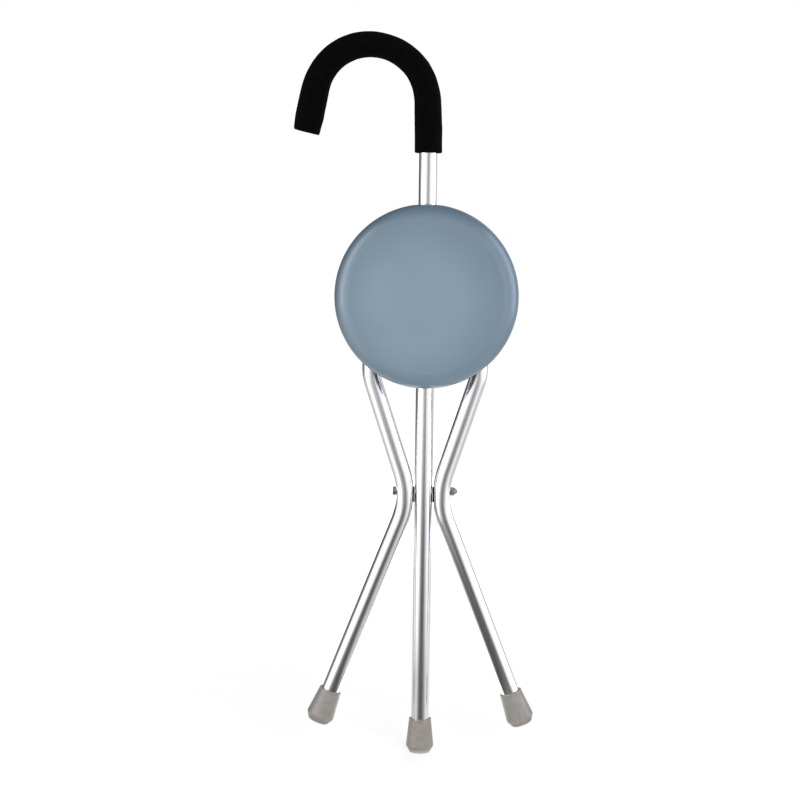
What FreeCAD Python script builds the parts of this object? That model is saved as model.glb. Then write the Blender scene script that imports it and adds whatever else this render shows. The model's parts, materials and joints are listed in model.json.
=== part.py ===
import FreeCAD, Part
import math
import os

import Sketcher
from FreeCAD import Placement, Rotation, Vector

# Walking stick seat: a crook-handled stick whose two side legs cross it on one bolt and
# carry a round seat. It is drawn folded, as a stick. The origin is the middle of the
# sole of the stick's own ferrule, +Z runs up the stick, +X is to the right when the
# seat faces the viewer, and the seat faces -Y. The crook points to -X.
# All sizes are in millimetres and degrees.

SIZES = {
    # Stick
    "pole_diameter": 22.0,
    "tube_wall": 1.5,
    "crook_centre_height": 799.0,
    "crook_radius": 70.0,
    "crook_angle": 169.0,
    "crook_end_length": 48.0,
    "grip_diameter": 33.0,
    "grip_base_height": 741.0,
    "grip_edge_radius": 2.0,
    "plug_face_thickness": 2.5,
    "plug_edge": 1.0,
    "plug_wall": 2.0,
    "plug_spigot_length": 14.0,
    # Side legs: the corners of the bent line that each leg follows
    "leg_diameter": 22.0,
    "leg_top_offset": 66.0,
    "shoulder_height": 469.5,
    "neck_upper_height": 339.0,
    "neck_lower_height": 304.5,
    "leg_sole_offset": 127.3,
    "leg_sole_height": 37.5,
    "neck_bend_radius": 85.0,
    "shoulder_bend_radius": 60.0,
    "leg_above_hinge": 16.0,
    "cap_head_height": 3.0,
    "cap_spigot_length": 9.0,
    "cap_wall": 2.0,
    # Neck, where the legs are pressed flat and bolted to the stick
    "pivot_height": 327.5,
    "neck_width": 20.0,
    "neck_press_radius": 60.0,
    "neck_press_height": 322.0,
    "neck_reach": 40.0,
    "spot_face_diameter": 13.0,
    "spot_face_depth": 10.0,
    "spacer_thickness": 2.0,
    "spacer_play": 0.3,
    "spacer_half_width": 5.0,
    "spacer_above": 5.5,
    "spacer_below": 14.0,
    "sleeve_play": 0.1,
    # Folding: both links of the seat are this long
    "link_length": 170.0,
    "fold_angle": 55.0,
    # Ferrules
    "ferrule_height": 42.0,
    "ferrule_mouth_diameter": 27.6,
    "ferrule_rim_height": 2.0,
    "ferrule_lead_in": 0.8,
    "ferrule_lead_in_depth": 1.5,
    "ferrule_base_diameter": 34.4,
    "ferrule_base_height": 8.0,
    "ferrule_sole_diameter": 25.0,
    "ferrule_floor": 8.0,
    "ferrule_edge_radius": 3.0,
    "sole_groove_width": 2.2,
    "sole_groove_depth": 1.5,
    "sole_lip_height": 3.0,
    "lip_groove_width": 0.8,
    "lip_groove_depth": 0.7,
    "foot_disc_thickness": 2.0,
    "foot_disc_play": 0.2,
    # Seat, measured forward from the stick's axis where a size says depth
    "seat_diameter": 222.0,
    "seat_centre_height": 568.0,
    "seat_face_depth": 52.0,
    "seat_dish": 1.5,
    "seat_flat_radius": 60.0,
    "seat_skirt_depth": 24.0,
    "seat_skirt_draft": 0.5,
    "seat_wall": 3.0,
    "seat_rim_radius": 19.0,
    "rib_thickness": 2.5,
    "rib_depth": 40.0,
    "rib_start_radius": 18.0,
    "ring_rib_radius": 61.0,
    "boss_diameter": 12.0,
    "boss_pitch_x": 36.0,
    "boss_pitch_low": -66.0,
    "boss_x_high": 11.0,
    "boss_pitch_high": 48.0,
    "notch_width": 36.0,
    "notch_depth": 36.0,
    "notch_corner": 4.0,
    "notch_length": 14.0,
    # Bracket
    "steel_thickness": 2.5,
    "bracket_depth": 24.5,
    "bracket_half_width": 54.1,
    "bracket_nose_half_width": 19.4,
    "bracket_foot": -81.0,
    "bracket_shoulder": -50.0,
    "bracket_waist": 6.0,
    "bracket_waist_half_width": 22.0,
    "bracket_nose": 92.0,
    "hinge_ear_radius": 10.0,
    "nose_ear_radius": 8.0,
    "nose_ear_foot": 66.0,
    "bend_radius": 2.2,
    "shortest_bend": 20.0,
    "ear_hole": 5.2,
    "screw_hole_play": 0.5,
    "buffer_y": -73.0,
    "buffer_diameter": 12.0,
    "buffer_edge": 1.5,
    "buffer_stem": 6.0,
    "buffer_catch": 2.5,
    "lightening_hole": 26.0,
    "lightening_y": -34.0,
    # Collar
    "collar_bore": 22.6,
    "collar_diameter": 30.0,
    "collar_height": 14.0,
    "collar_edge": 1.0,
    "collar_boss_diameter": 11.0,
    "collar_boss_stand": 1.6,
    # Fasteners
    "bolt_diameter": 6.0,
    "bolt_hole": 6.4,
    "bolt_end_chamfer": 0.7,
    "bush_bore": 6.1,
    "bush_stand": 0.4,
    "hinge_play": 0.3,
    "bush_diameter": 9.0,
    "rivet_diameter": 5.0,
    "rivet_start": 0.5,
    "rivet_play": 0.2,
    "rivet_head_diameter": 9.0,
    "rivet_head_height": 2.0,
    "screw_diameter": 4.0,
    "screw_length": 12.0,
    "screw_point": 1.5,
    "screw_head_diameter": 9.0,
    "screw_head_height": 2.6,
    "washer_diameter": 12.0,
    "washer_thickness": 1.0,
    "hexagon_across": 10.0,
    "bolt_head_height": 4.0,
    "nut_height": 6.0,
    "nut_hexagon_share": 0.7,
    "nut_collar_share": 0.9,
    "thread_end": 2.2,
    "stop_bolt_diameter": 5.0,
    "stop_bolt_head": 8.0,
    "stop_bolt_head_height": 3.5,
    "stop_nut_height": 5.0,
    "stop_thread_end": 1.5,
    "stop_gap": 0.3,
}

rib_count = 8

# How far an edge may lie from its drawn place and still be the wanted one
edge_slack = 0.05

doc = FreeCAD.newDocument("walking_stick_seat")
sheet = doc.addObject("Spreadsheet::Sheet", "sizes")


def fill_sheet():
    """Write each driving size and its alias into the sheet."""
    for row, (alias, value) in enumerate(SIZES.items(), start=1):
        sheet.set("A%d" % row, alias)
        sheet.set("B%d" % row, str(value))
        sheet.setAlias("B%d" % row, alias)
    doc.recompute()


class Size:
    """A number together with the expression that gives it from the sheet."""

    def __init__(self, value, text=None):
        self.value = float(value)
        self.text = text if text else repr(float(value))

    def join(self, other, sign, value):
        return Size(value, "(%s %s %s)" % (self.text, sign, other.text))

    def __add__(self, other):
        other = as_size(other)
        return self.join(other, "+", self.value + other.value)

    def __sub__(self, other):
        other = as_size(other)
        return self.join(other, "-", self.value - other.value)

    def __mul__(self, other):
        other = as_size(other)
        return self.join(other, "*", self.value * other.value)

    def __truediv__(self, other):
        other = as_size(other)
        return self.join(other, "/", self.value / other.value)

    def __neg__(self):
        return as_size(0) - self

    def __radd__(self, other):
        return as_size(other) + self

    def __rsub__(self, other):
        return as_size(other) - self

    def __rmul__(self, other):
        return as_size(other) * self

    def __rtruediv__(self, other):
        return as_size(other) / self


def as_size(number):
    return number if isinstance(number, Size) else Size(number)


def size(alias):
    """The driving size of that alias."""
    return Size(SIZES[alias], "sizes." + alias)


def root(amount):
    return Size(math.sqrt(amount.value), "sqrt(%s)" % amount.text)


diagonal = root(Size(0.5))
hexagon_corner = 1 / root(Size(3))


def place(x=0.0, y=0.0, z=0.0, axis=(0, 0, 1), angle=0.0):
    return Placement(Vector(x, y, z), Rotation(Vector(*axis), angle))


# Sketch helpers

def new_body(label):
    made = doc.addObject("PartDesign::Body", label)
    made.Label = label
    return made


def new_sketch(owner, role, name, offset=None):
    """An empty sketch on one of the body's own origin planes, moved along its normal."""
    drawn = owner.newObject("Sketcher::SketchObject", name)
    plane = [item for item in owner.Origin.OriginFeatures if item.Role == role][0]
    drawn.AttachmentSupport = [(plane, "")]
    drawn.MapMode = "FlatFace"
    if offset is not None:
        drawn.AttachmentOffset = place(z=as_size(offset).value)
        drawn.setExpression("AttachmentOffset.Base.z", as_size(offset).text)
    return drawn


def drive(drawn, constraint, amount):
    """Add a constraint whose number follows the sheet."""
    index = drawn.addConstraint(constraint)
    drawn.setExpression("Constraints[%d]" % index, amount.text)


def pin_offset(drawn, geometry, point, x):
    """Hold one point of a sketch at a distance to the right of its origin."""
    if abs(x.value) < 1e-9:
        drawn.addConstraint(Sketcher.Constraint("PointOnObject", geometry, point, -2))
    else:
        drive(drawn, Sketcher.Constraint("DistanceX", -1, 1, geometry, point, x.value), x)


def pin_height(drawn, geometry, point, y):
    """Hold one point of a sketch at a distance above its origin."""
    if abs(y.value) < 1e-9:
        drawn.addConstraint(Sketcher.Constraint("PointOnObject", geometry, point, -1))
    else:
        drive(drawn, Sketcher.Constraint("DistanceY", -1, 1, geometry, point, y.value), y)


def pin_point(drawn, geometry, point, x, y):
    pin_offset(drawn, geometry, point, as_size(x))
    pin_height(drawn, geometry, point, as_size(y))


def add_circle(drawn, diameter, x=0, y=0):
    diameter = as_size(diameter)
    centre = Vector(as_size(x).value, as_size(y).value, 0)
    index = drawn.addGeometry(Part.Circle(centre, Vector(0, 0, 1), diameter.value / 2))
    drive(drawn, Sketcher.Constraint("Diameter", index, diameter.value), diameter)
    pin_point(drawn, index, 3, x, y)


def add_outline(drawn, corners):
    """A closed outline of straight sides. A corner (x, y, u, v, turn) is reached by an arc about
    u, v, anticlockwise where turn is 1 and clockwise where it is -1."""
    count = len(corners)
    ends = [Vector(as_size(c[0]).value, as_size(c[1]).value, 0) for c in corners]
    first = drawn.GeometryCount
    for index, corner in enumerate(corners):
        start = ends[index - 1]
        if len(corner) == 5:
            drawn.addGeometry(arc_about(start, ends[index], corner))
        else:
            drawn.addGeometry(Part.LineSegment(start, ends[index]))
    for index, corner in enumerate(corners):
        side = first + index
        if len(corner) == 5:
            pin_arc(drawn, side, ends[index - 1], corner)
        else:
            pin_point(drawn, side, 2, corner[0], corner[1])
    join_sides(drawn, first, count, ends)


def arc_about(start, finish, corner):
    """The arc from start to finish about the centre that the corner names."""
    centre = Vector(as_size(corner[2]).value, as_size(corner[3]).value, 0)
    turn = corner[4]
    begin = math.atan2(start.y - centre.y, start.x - centre.x)
    stop = math.atan2(finish.y - centre.y, finish.x - centre.x)
    swept = (turn * (stop - begin)) % (2 * math.pi)
    middle = begin + turn * swept / 2
    radius = start.distanceToPoint(centre)
    through = centre + Vector(math.cos(middle), math.sin(middle), 0) * radius
    return Part.Arc(start, through, finish)


def end_number(drawn, side, position):
    """Which end of that side, 1 or 2, lies at the position."""
    return 1 if drawn.getPoint(side, 1).distanceToPoint(position) < 1e-6 else 2


def pin_arc(drawn, side, start, corner):
    """Hold an arc by its far end and by the one way in which its centre could still slide."""
    finish = Vector(as_size(corner[0]).value, as_size(corner[1]).value, 0)
    pin_point(drawn, side, end_number(drawn, side, finish), corner[0], corner[1])
    chord = finish - start
    if abs(chord.x) > abs(chord.y):
        pin_height(drawn, side, 3, as_size(corner[3]))
    else:
        pin_offset(drawn, side, 3, as_size(corner[2]))


def join_sides(drawn, first, count, ends):
    for index in range(count):
        side = first + index
        following = first + (index + 1) % count
        here = end_number(drawn, side, ends[index])
        there = end_number(drawn, following, ends[index])
        drawn.addConstraint(Sketcher.Constraint("Coincident", side, here, following, there))


def bend_path(drawn, corners, radii):
    """Straight runs joined by tangent arcs. Corners are (x, y), radii are those of the inner corners."""
    points = [Vector(as_size(x).value, as_size(y).value, 0) for x, y in corners]
    start = points[0]
    for index, radius in enumerate(radii, start=1):
        before = (points[index - 1] - points[index]).normalize()
        after = (points[index + 1] - points[index]).normalize()
        half_turn = (math.pi - before.getAngle(after)) / 2
        reach = radius.value * math.tan(half_turn)
        begin = points[index] + before * reach
        finish = points[index] + after * reach
        middle_direction = (before + after).normalize()
        sagitta = radius.value * (1 / math.cos(half_turn) - 1)
        middle = points[index] + middle_direction * sagitta
        drawn.addGeometry(Part.LineSegment(start, begin))
        drawn.addGeometry(Part.Arc(begin, middle, finish))
        start = finish
    drawn.addGeometry(Part.LineSegment(start, points[-1]))
    hold_bends(drawn, corners, radii)


def hold_bends(drawn, corners, radii):
    """Tie the runs of a bent path to its corners, so that the sheet drives it."""
    pin_point(drawn, 0, 1, *corners[0])
    for index, radius in enumerate(radii):
        run = 2 * index
        arc = run + 1
        after = run + 2
        meets = drawn.getPoint(run, 2)
        leaves = drawn.getPoint(after, 1)
        near = end_number(drawn, arc, meets)
        far = end_number(drawn, arc, leaves)
        drawn.addConstraint(Sketcher.Constraint("Tangent", run, 2, arc, near))
        drawn.addConstraint(Sketcher.Constraint("Tangent", arc, far, after, 1))
        drive(drawn, Sketcher.Constraint("Radius", arc, radius.value), radius)
        x, y = [as_size(c).value for c in corners[index + 1]]
        corner = drawn.addGeometry(Part.Point(Vector(x, y, 0)), True)
        pin_point(drawn, corner, 1, *corners[index + 1])
        drawn.addConstraint(Sketcher.Constraint("PointOnObject", corner, 1, run))
        drawn.addConstraint(Sketcher.Constraint("PointOnObject", corner, 1, after))
    last = 2 * len(radii)
    pin_point(drawn, last, 2, *corners[-1])


# Feature helpers

def pad(owner, drawn, length, both_ways=False):
    feature = owner.newObject("PartDesign::Pad", drawn.Name + "_pad")
    feature.Profile = drawn
    feature.Length = as_size(length).value
    feature.setExpression("Length", as_size(length).text)
    feature.Midplane = both_ways
    doc.recompute()
    return feature


def cut(owner, drawn, length=None, both_ways=False, reverse=False):
    """Pocket a sketch, and check that material went away. No length means all the way through."""
    before = owner.Shape.Volume
    feature = owner.newObject("PartDesign::Pocket", drawn.Name + "_pocket")
    feature.Profile = drawn
    feature.Midplane = both_ways
    feature.Reversed = reverse
    if length is None:
        feature.Type = "ThroughAll"
    else:
        feature.Length = as_size(length).value
        feature.setExpression("Length", as_size(length).text)
    doc.recompute()
    if owner.Shape.Volume > before - 0.1:
        raise ValueError(drawn.Name + " cuts nothing")
    return feature


def spin(owner, drawn, angle=360.0):
    """Revolve a sketch about the sketch's own upright axis."""
    feature = owner.newObject("PartDesign::Revolution", drawn.Name + "_turn")
    feature.Profile = drawn
    feature.ReferenceAxis = (drawn, ["V_Axis"])
    feature.Angle = angle
    doc.recompute()
    return feature


def dome_drop(radius, rise):
    """How far the middle of a dome's sphere lies below the dome's rim."""
    return (radius * radius - rise * rise) / (2 * rise)


def turned(label, corners):
    """A body made by turning one outline about its own axis."""
    owner = new_body(label)
    drawn = new_sketch(owner, "XZ_Plane", label + "_profile")
    add_outline(drawn, corners)
    spin(owner, drawn)
    return owner


def round_edges(owner, radius, wanted):
    """Fillet every edge of the tip whose middle passes the wanted test."""
    tip = owner.Tip
    names = []
    for number, edge in enumerate(tip.Shape.Edges, start=1):
        if wanted(edge):
            names.append("Edge%d" % number)
    if not names:
        raise ValueError(owner.Label + " has no such edge to round")
    feature = owner.newObject("PartDesign::Fillet", owner.Label + "_fillet")
    feature.Base = (tip, names)
    feature.Radius = as_size(radius).value
    feature.setExpression("Radius", as_size(radius).text)
    doc.recompute()
    return feature


def ring_at(radius, height, slack=edge_slack):
    """A test for round edges about the body's own axis."""
    radius = as_size(radius).value
    height = as_size(height).value

    def passes(edge):
        curve = edge.Curve
        if not isinstance(curve, Part.Circle):
            return False
        same_radius = abs(curve.Radius - radius) < slack
        return same_radius and abs(curve.Center.z - height) < slack
    return passes


fill_sheet()

pole_radius = size("pole_diameter") / 2
leg_radius = size("leg_diameter") / 2
tube_foot = size("ferrule_floor") + size("foot_disc_thickness")
neck_axis = pole_radius + size("spacer_thickness") + size("neck_width") / 2
neck_inner_face = pole_radius + size("spacer_thickness")
neck_outer_face = neck_inner_face + size("neck_width")
hinge_height = size("pivot_height") + size("link_length")
collar_height_now = hinge_height + size("link_length")
leg_top_height = hinge_height + size("leg_above_hinge")


# The stick

def sweep(owner, profile, path, remove=False):
    """Run a profile along every edge of a path sketch."""
    kind = "PartDesign::SubtractivePipe" if remove else "PartDesign::AdditivePipe"
    feature = owner.newObject(kind, profile.Name + "_sweep")
    feature.Profile = profile
    edges = ["Edge%d" % number for number in range(1, len(path.Shape.Edges) + 1)]
    feature.Spine = (path, edges)
    doc.recompute()
    return feature


def crook_path(owner, name, base_height):
    """The stick's line from a height upwards, round the crook to its end."""
    drawn = new_sketch(owner, "XZ_Plane", name)
    angle = math.radians(SIZES["crook_angle"])
    radius = SIZES["crook_radius"]
    height = SIZES["crook_centre_height"]
    length = SIZES["crook_end_length"]
    centre = Vector(-radius, height, 0)
    top = Vector(0, height, 0)
    middle = centre + Vector(math.cos(angle / 2), math.sin(angle / 2), 0) * radius
    turn_end = centre + Vector(math.cos(angle), math.sin(angle), 0) * radius
    finish = turn_end + Vector(-math.sin(angle), math.cos(angle), 0) * length
    drawn.addGeometry(Part.LineSegment(Vector(0, as_size(base_height).value, 0), top))
    drawn.addGeometry(Part.Arc(top, middle, turn_end))
    drawn.addGeometry(Part.LineSegment(turn_end, finish))
    pin_point(drawn, 0, 1, 0, base_height)
    pin_point(drawn, 0, 2, 0, size("crook_centre_height"))
    begin = end_number(drawn, 1, top)
    leave = end_number(drawn, 1, turn_end)
    drawn.addConstraint(Sketcher.Constraint("Tangent", 0, 2, 1, begin))
    drawn.addConstraint(Sketcher.Constraint("Tangent", 1, leave, 2, 1))
    drive(drawn, Sketcher.Constraint("Radius", 1, radius), size("crook_radius"))
    drive(drawn, Sketcher.Constraint("Distance", 2, length), size("crook_end_length"))
    drive(drawn, Sketcher.Constraint("DistanceX", 2, 2, -1, 1, -finish.x), crook_end_x())
    return drawn


def crook_end_x():
    """How far the crook's end stands to the left of the stick's axis."""
    angle = math.radians(SIZES["crook_angle"])
    radius = SIZES["crook_radius"]
    length = SIZES["crook_end_length"]
    value = radius * (1 - math.cos(angle)) + math.sin(angle) * length
    text = ("sizes.crook_radius * (1 - cos(sizes.crook_angle * 1deg))"
            " + sin(sizes.crook_angle * 1deg) * sizes.crook_end_length")
    return Size(value, text)


def crook_end_placement():
    """The middle of the crook's end, with +Z pointing out of the tube."""
    angle = math.radians(SIZES["crook_angle"])
    height = (SIZES["crook_centre_height"] + SIZES["crook_radius"] * math.sin(angle)
              + SIZES["crook_end_length"] * math.cos(angle))
    tilt = -SIZES["crook_angle"]
    return place(x=-crook_end_x().value, z=height, axis=(0, 1, 0), angle=tilt)


def main_tube():
    owner = new_body("main_tube")
    path = crook_path(owner, "tube_line", tube_foot)
    outside = new_sketch(owner, "XY_Plane", "tube_outside", tube_foot)
    add_circle(outside, size("pole_diameter"))
    bore = new_sketch(owner, "XY_Plane", "tube_bore", tube_foot)
    add_circle(bore, size("pole_diameter") - 2 * size("tube_wall"))
    doc.recompute()
    sweep(owner, outside, path)
    sweep(owner, bore, path, remove=True)
    pivot = new_sketch(owner, "YZ_Plane", "pivot_hole")
    add_circle(pivot, size("bush_diameter"), 0, size("pivot_height"))
    cut(owner, pivot, both_ways=True)
    stop = new_sketch(owner, "XZ_Plane", "stop_hole")
    add_circle(stop, size("stop_bolt_diameter"), 0, stop_height())
    cut(owner, stop, both_ways=True)
    return owner


def stop_height():
    """Where the stop bolt crosses the stick: just under the collar of the open seat."""
    angle = math.radians(SIZES["fold_angle"])
    corner = size("stop_bolt_head") * hexagon_corner
    clearance = size("collar_height") / 2 + corner + size("stop_gap")
    value = 2 * SIZES["link_length"] * math.cos(angle)
    reach = Size(value, "2 * sizes.link_length * cos(sizes.fold_angle * 1deg)")
    return size("pivot_height") + reach - clearance


def foam_grip():
    owner = new_body("foam_grip")
    path = crook_path(owner, "grip_line", size("grip_base_height"))
    ring = new_sketch(owner, "XY_Plane", "grip_ring", size("grip_base_height"))
    add_circle(ring, size("grip_diameter"))
    add_circle(ring, size("pole_diameter"))
    doc.recompute()
    sweep(owner, ring, path)
    round_edges(owner, size("grip_edge_radius"), is_grip_rim)
    return owner


def is_grip_rim(edge):
    curve = edge.Curve
    radius = SIZES["grip_diameter"] / 2
    return isinstance(curve, Part.Circle) and abs(curve.Radius - radius) < edge_slack


def crook_end_plug():
    """A plastic plug pressed into the open end of the crook, its face flush with the foam."""
    spigot = size("pole_diameter") / 2 - size("tube_wall")
    face = size("plug_face_thickness")
    edge = size("plug_edge")
    inside = spigot - size("plug_wall")
    inner_end = -size("plug_spigot_length")
    owner = turned("crook_end_plug", [
        (0, face), (spigot - edge, face), (spigot, face - edge), (spigot, inner_end),
        (inside, inner_end), (inside, 0), (0, 0)])
    owner.Placement = crook_end_placement().multiply(place(z=-SIZES["plug_face_thickness"]))
    return owner


# Ferrules and their steel discs

def ferrule(label):
    """A rubber foot: flared sides, a bevelled sole with two grooves, and a socket for the tube."""
    mouth = size("ferrule_mouth_diameter") / 2
    base = size("ferrule_base_diameter") / 2
    sole = size("ferrule_sole_diameter") / 2
    height = size("ferrule_height")
    groove = size("sole_groove_depth")
    step = size("sole_groove_width")
    floor = size("ferrule_floor")
    lip = size("sole_lip_height")
    over_lip = lip + size("lip_groove_width")
    flare = (base - sole) / size("ferrule_base_height")
    lip_radius = sole + flare * lip
    groove_radius = lip_radius - size("lip_groove_depth")
    owner = turned(label, [
        (0, 0), (step, 0), (step, groove), (2 * step, groove), (2 * step, 0),
        (3 * step, 0), (3 * step, groove), (4 * step, groove), (4 * step, 0),
        (sole, 0), (lip_radius, lip), (groove_radius, lip), (groove_radius, over_lip),
        (sole + flare * over_lip, over_lip), (base, size("ferrule_base_height")),
        (mouth, height - size("ferrule_rim_height")), (mouth, height),
        (pole_radius + size("ferrule_lead_in"), height),
        (pole_radius, height - size("ferrule_lead_in_depth")),
        (pole_radius, floor), (0, floor)])
    round_edges(owner, size("ferrule_edge_radius"), ring_at(base, size("ferrule_base_height")))
    return owner


def foot_disc(label):
    """The steel disc in a ferrule's socket that keeps the tube from cutting the rubber."""
    owner = new_body(label)
    drawn = new_sketch(owner, "XY_Plane", label + "_ring", size("ferrule_floor"))
    add_circle(drawn, size("pole_diameter") - 2 * size("foot_disc_play"))
    pad(owner, drawn, size("foot_disc_thickness"))
    return owner


def leg_slant():
    """The angle of a leg's lower run to the upright, in degrees."""
    run = SIZES["leg_sole_offset"] - neck_axis.value
    drop = SIZES["neck_lower_height"] - SIZES["leg_sole_height"]
    return math.degrees(math.atan2(run, drop))


def foot_placement(side):
    """The middle of a side leg's sole, +Z up along the leg. Side is -1 for left, 1 for right."""
    offset = side * SIZES["leg_sole_offset"]
    return place(x=offset, z=SIZES["leg_sole_height"], axis=(0, 1, 0), angle=-side * leg_slant())


# Side legs

def leg_tube_end():
    """The lower end of a leg's line, inside its ferrule."""
    angle = math.radians(leg_slant())
    rise = tube_foot.value
    x = SIZES["leg_sole_offset"] - rise * math.sin(angle)
    z = SIZES["leg_sole_height"] + rise * math.cos(angle)
    share = ("(%s / sqrt((sizes.leg_sole_offset - %s) ^ 2"
             " + (sizes.neck_lower_height - sizes.leg_sole_height) ^ 2))"
             % (tube_foot.text, neck_axis.text))
    x_text = "(sizes.leg_sole_offset - %s * (sizes.leg_sole_offset - %s))" % (share, neck_axis.text)
    z_text = ("(sizes.leg_sole_height + %s * (sizes.neck_lower_height - sizes.leg_sole_height))"
              % share)
    return Size(x, x_text), Size(z, z_text)


def leg_body(label, diameter):
    """A round bar bent along the right-hand leg's line."""
    owner = new_body(label)
    path = new_sketch(owner, "XZ_Plane", label + "_line")
    corners = [
        (size("leg_top_offset"), leg_top_height),
        (size("leg_top_offset"), size("shoulder_height")),
        (neck_axis, size("neck_upper_height")),
        (neck_axis, size("neck_lower_height")),
        leg_tube_end()]
    radii = [size("shoulder_bend_radius"), size("neck_bend_radius"), size("neck_bend_radius")]
    bend_path(path, corners, radii)
    section = new_sketch(owner, "XY_Plane", label + "_section", leg_top_height)
    add_circle(section, diameter, size("leg_top_offset"), 0)
    doc.recompute()
    sweep(owner, section, path)
    return owner


def press_flats(owner, label, skin):
    """Press the neck flat on the stick's side, and hollow it gently on the far side."""
    flat = new_sketch(owner, "XZ_Plane", label + "_flat")
    inner = neck_inner_face + skin
    low = size("neck_lower_height") - size("neck_reach")
    high = size("neck_upper_height") + size("neck_reach")
    beyond = inner - size("neck_width")
    add_outline(flat, [(inner, low), (inner, high), (beyond, high), (beyond, low)])
    cut(owner, flat, both_ways=True)
    hollow = new_sketch(owner, "XZ_Plane", label + "_hollow")
    press = size("neck_press_radius") + skin
    middle = neck_outer_face - skin + press
    add_circle(hollow, 2 * press, middle, size("neck_press_height"))
    cut(owner, hollow, both_ways=True)


def spot_face(owner):
    """A small flat on the outer side of the neck for the bolt's washer."""
    drawn = new_sketch(owner, "YZ_Plane", "spot_face", neck_outer_face)
    add_circle(drawn, size("spot_face_diameter"), 0, size("pivot_height"))
    cut(owner, drawn, size("spot_face_depth"), reverse=True)


def cross_hole(owner, name, diameter, height):
    drawn = new_sketch(owner, "YZ_Plane", name)
    add_circle(drawn, diameter, 0, height)
    cut(owner, drawn, both_ways=True)


def leg_tubes():
    """The two bent legs. The left one mirrors the right one."""
    outside = leg_body("leg_outside", size("leg_diameter"))
    press_flats(outside, "outside", as_size(0))
    spot_face(outside)
    cross_hole(outside, "leg_pivot_hole", size("bolt_hole"), size("pivot_height"))
    cross_hole(outside, "leg_hinge_hole", size("bush_diameter"), hinge_height)
    bore = leg_body("leg_bore", size("leg_diameter") - 2 * size("tube_wall"))
    press_flats(bore, "bore", size("tube_wall"))
    right = doc.addObject("Part::Cut", "right_leg_tube")
    right.Base = outside
    right.Tool = bore
    left = doc.addObject("Part::Mirroring", "left_leg_tube")
    left.Source = right
    left.Normal = Vector(1, 0, 0)
    left.Base = Vector(0, 0, 0)
    doc.recompute()
    return [right, left]


def leg_cap(label, side):
    """A plastic plug with a rounded head, pressed into the top of a leg."""
    spigot = leg_radius - size("tube_wall")
    head = size("cap_head_height")
    wall = size("cap_wall")
    inner_end = -size("cap_spigot_length")
    owner = turned(label, [
        (0, head), (leg_radius - head, head), (leg_radius, 0, leg_radius - head, 0, -1),
        (spigot, 0), (spigot, inner_end), (spigot - wall, inner_end), (spigot - wall, -wall),
        (0, -wall)])
    owner.Placement = place(x=side * SIZES["leg_top_offset"], z=leg_top_height.value)
    return owner


# Fasteners

def hexagon(drawn, across):
    """A regular hexagon, two of its sides upright."""
    half = across / 2
    corner = across * hexagon_corner
    add_outline(drawn, [
        (half, corner / 2), (as_size(0), corner), (-half, corner / 2),
        (-half, -corner / 2), (as_size(0), -corner), (half, -corner / 2)])


def bolt(label, shank, length, across_flats, head):
    """A hexagon-headed bolt. Its head sits on z = 0 and its shank points down."""
    owner = new_body(label)
    drawn = new_sketch(owner, "XY_Plane", label + "_head")
    hexagon(drawn, across_flats)
    pad(owner, drawn, head)
    stem = new_sketch(owner, "XY_Plane", label + "_shank", -length)
    add_circle(stem, shank)
    pad(owner, stem, length + head / 2)
    chamfer_edges(owner, size("bolt_end_chamfer"), ring_at(shank / 2, -length))
    return owner


def chamfer_edges(owner, amount, wanted):
    tip = owner.Tip
    names = []
    for number, edge in enumerate(tip.Shape.Edges, start=1):
        if wanted(edge):
            names.append("Edge%d" % number)
    if not names:
        raise ValueError(owner.Label + " has no such edge to chamfer")
    feature = owner.newObject("PartDesign::Chamfer", owner.Label + "_chamfer")
    feature.Base = (tip, names)
    feature.Size = amount.value
    feature.setExpression("Size", amount.text)
    doc.recompute()
    return feature


def lock_nut(label, bore, across_flats, thickness):
    """A nut with the round collar that holds its locking ring. It sits on z = 0."""
    owner = new_body(label)
    drawn = new_sketch(owner, "XY_Plane", label + "_hexagon")
    hexagon(drawn, across_flats)
    pad(owner, drawn, thickness * size("nut_hexagon_share"))
    collar = new_sketch(owner, "XY_Plane", label + "_collar")
    add_circle(collar, across_flats * size("nut_collar_share"))
    pad(owner, collar, thickness)
    hole = new_sketch(owner, "XY_Plane", label + "_bore")
    add_circle(hole, bore)
    cut(owner, hole, both_ways=True)
    return owner


# Neck joint: one bolt through both legs and the stick

def place_along_x(owner, start, height, side):
    """Lay a piece along X at a height, its own +Z to that side, its base at a start distance."""
    x = side * as_size(start).value
    owner.Placement = place(x=x, z=as_size(height).value, axis=(0, 1, 0), angle=90 * side)
    return owner


def ring_body(label, diameter, bore, length):
    owner = new_body(label)
    drawn = new_sketch(owner, "XY_Plane", label + "_ring")
    add_circle(drawn, diameter)
    add_circle(drawn, bore)
    pad(owner, drawn, length)
    return owner


def grouped(label, pieces):
    """Loose identical pieces kept as one group of separate solids."""
    group = doc.addObject("Part::Compound", label)
    group.Links = pieces
    doc.recompute()
    return group


def pivot_sleeve():
    """The nylon sleeve through the stick's wall, in which the pivot bolt turns."""
    length = size("pole_diameter") - 2 * size("sleeve_play")
    owner = ring_body("pivot_sleeve", size("bush_diameter"), size("bush_bore"), length)
    return place_along_x(owner, -(length / 2), size("pivot_height"), 1)


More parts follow.
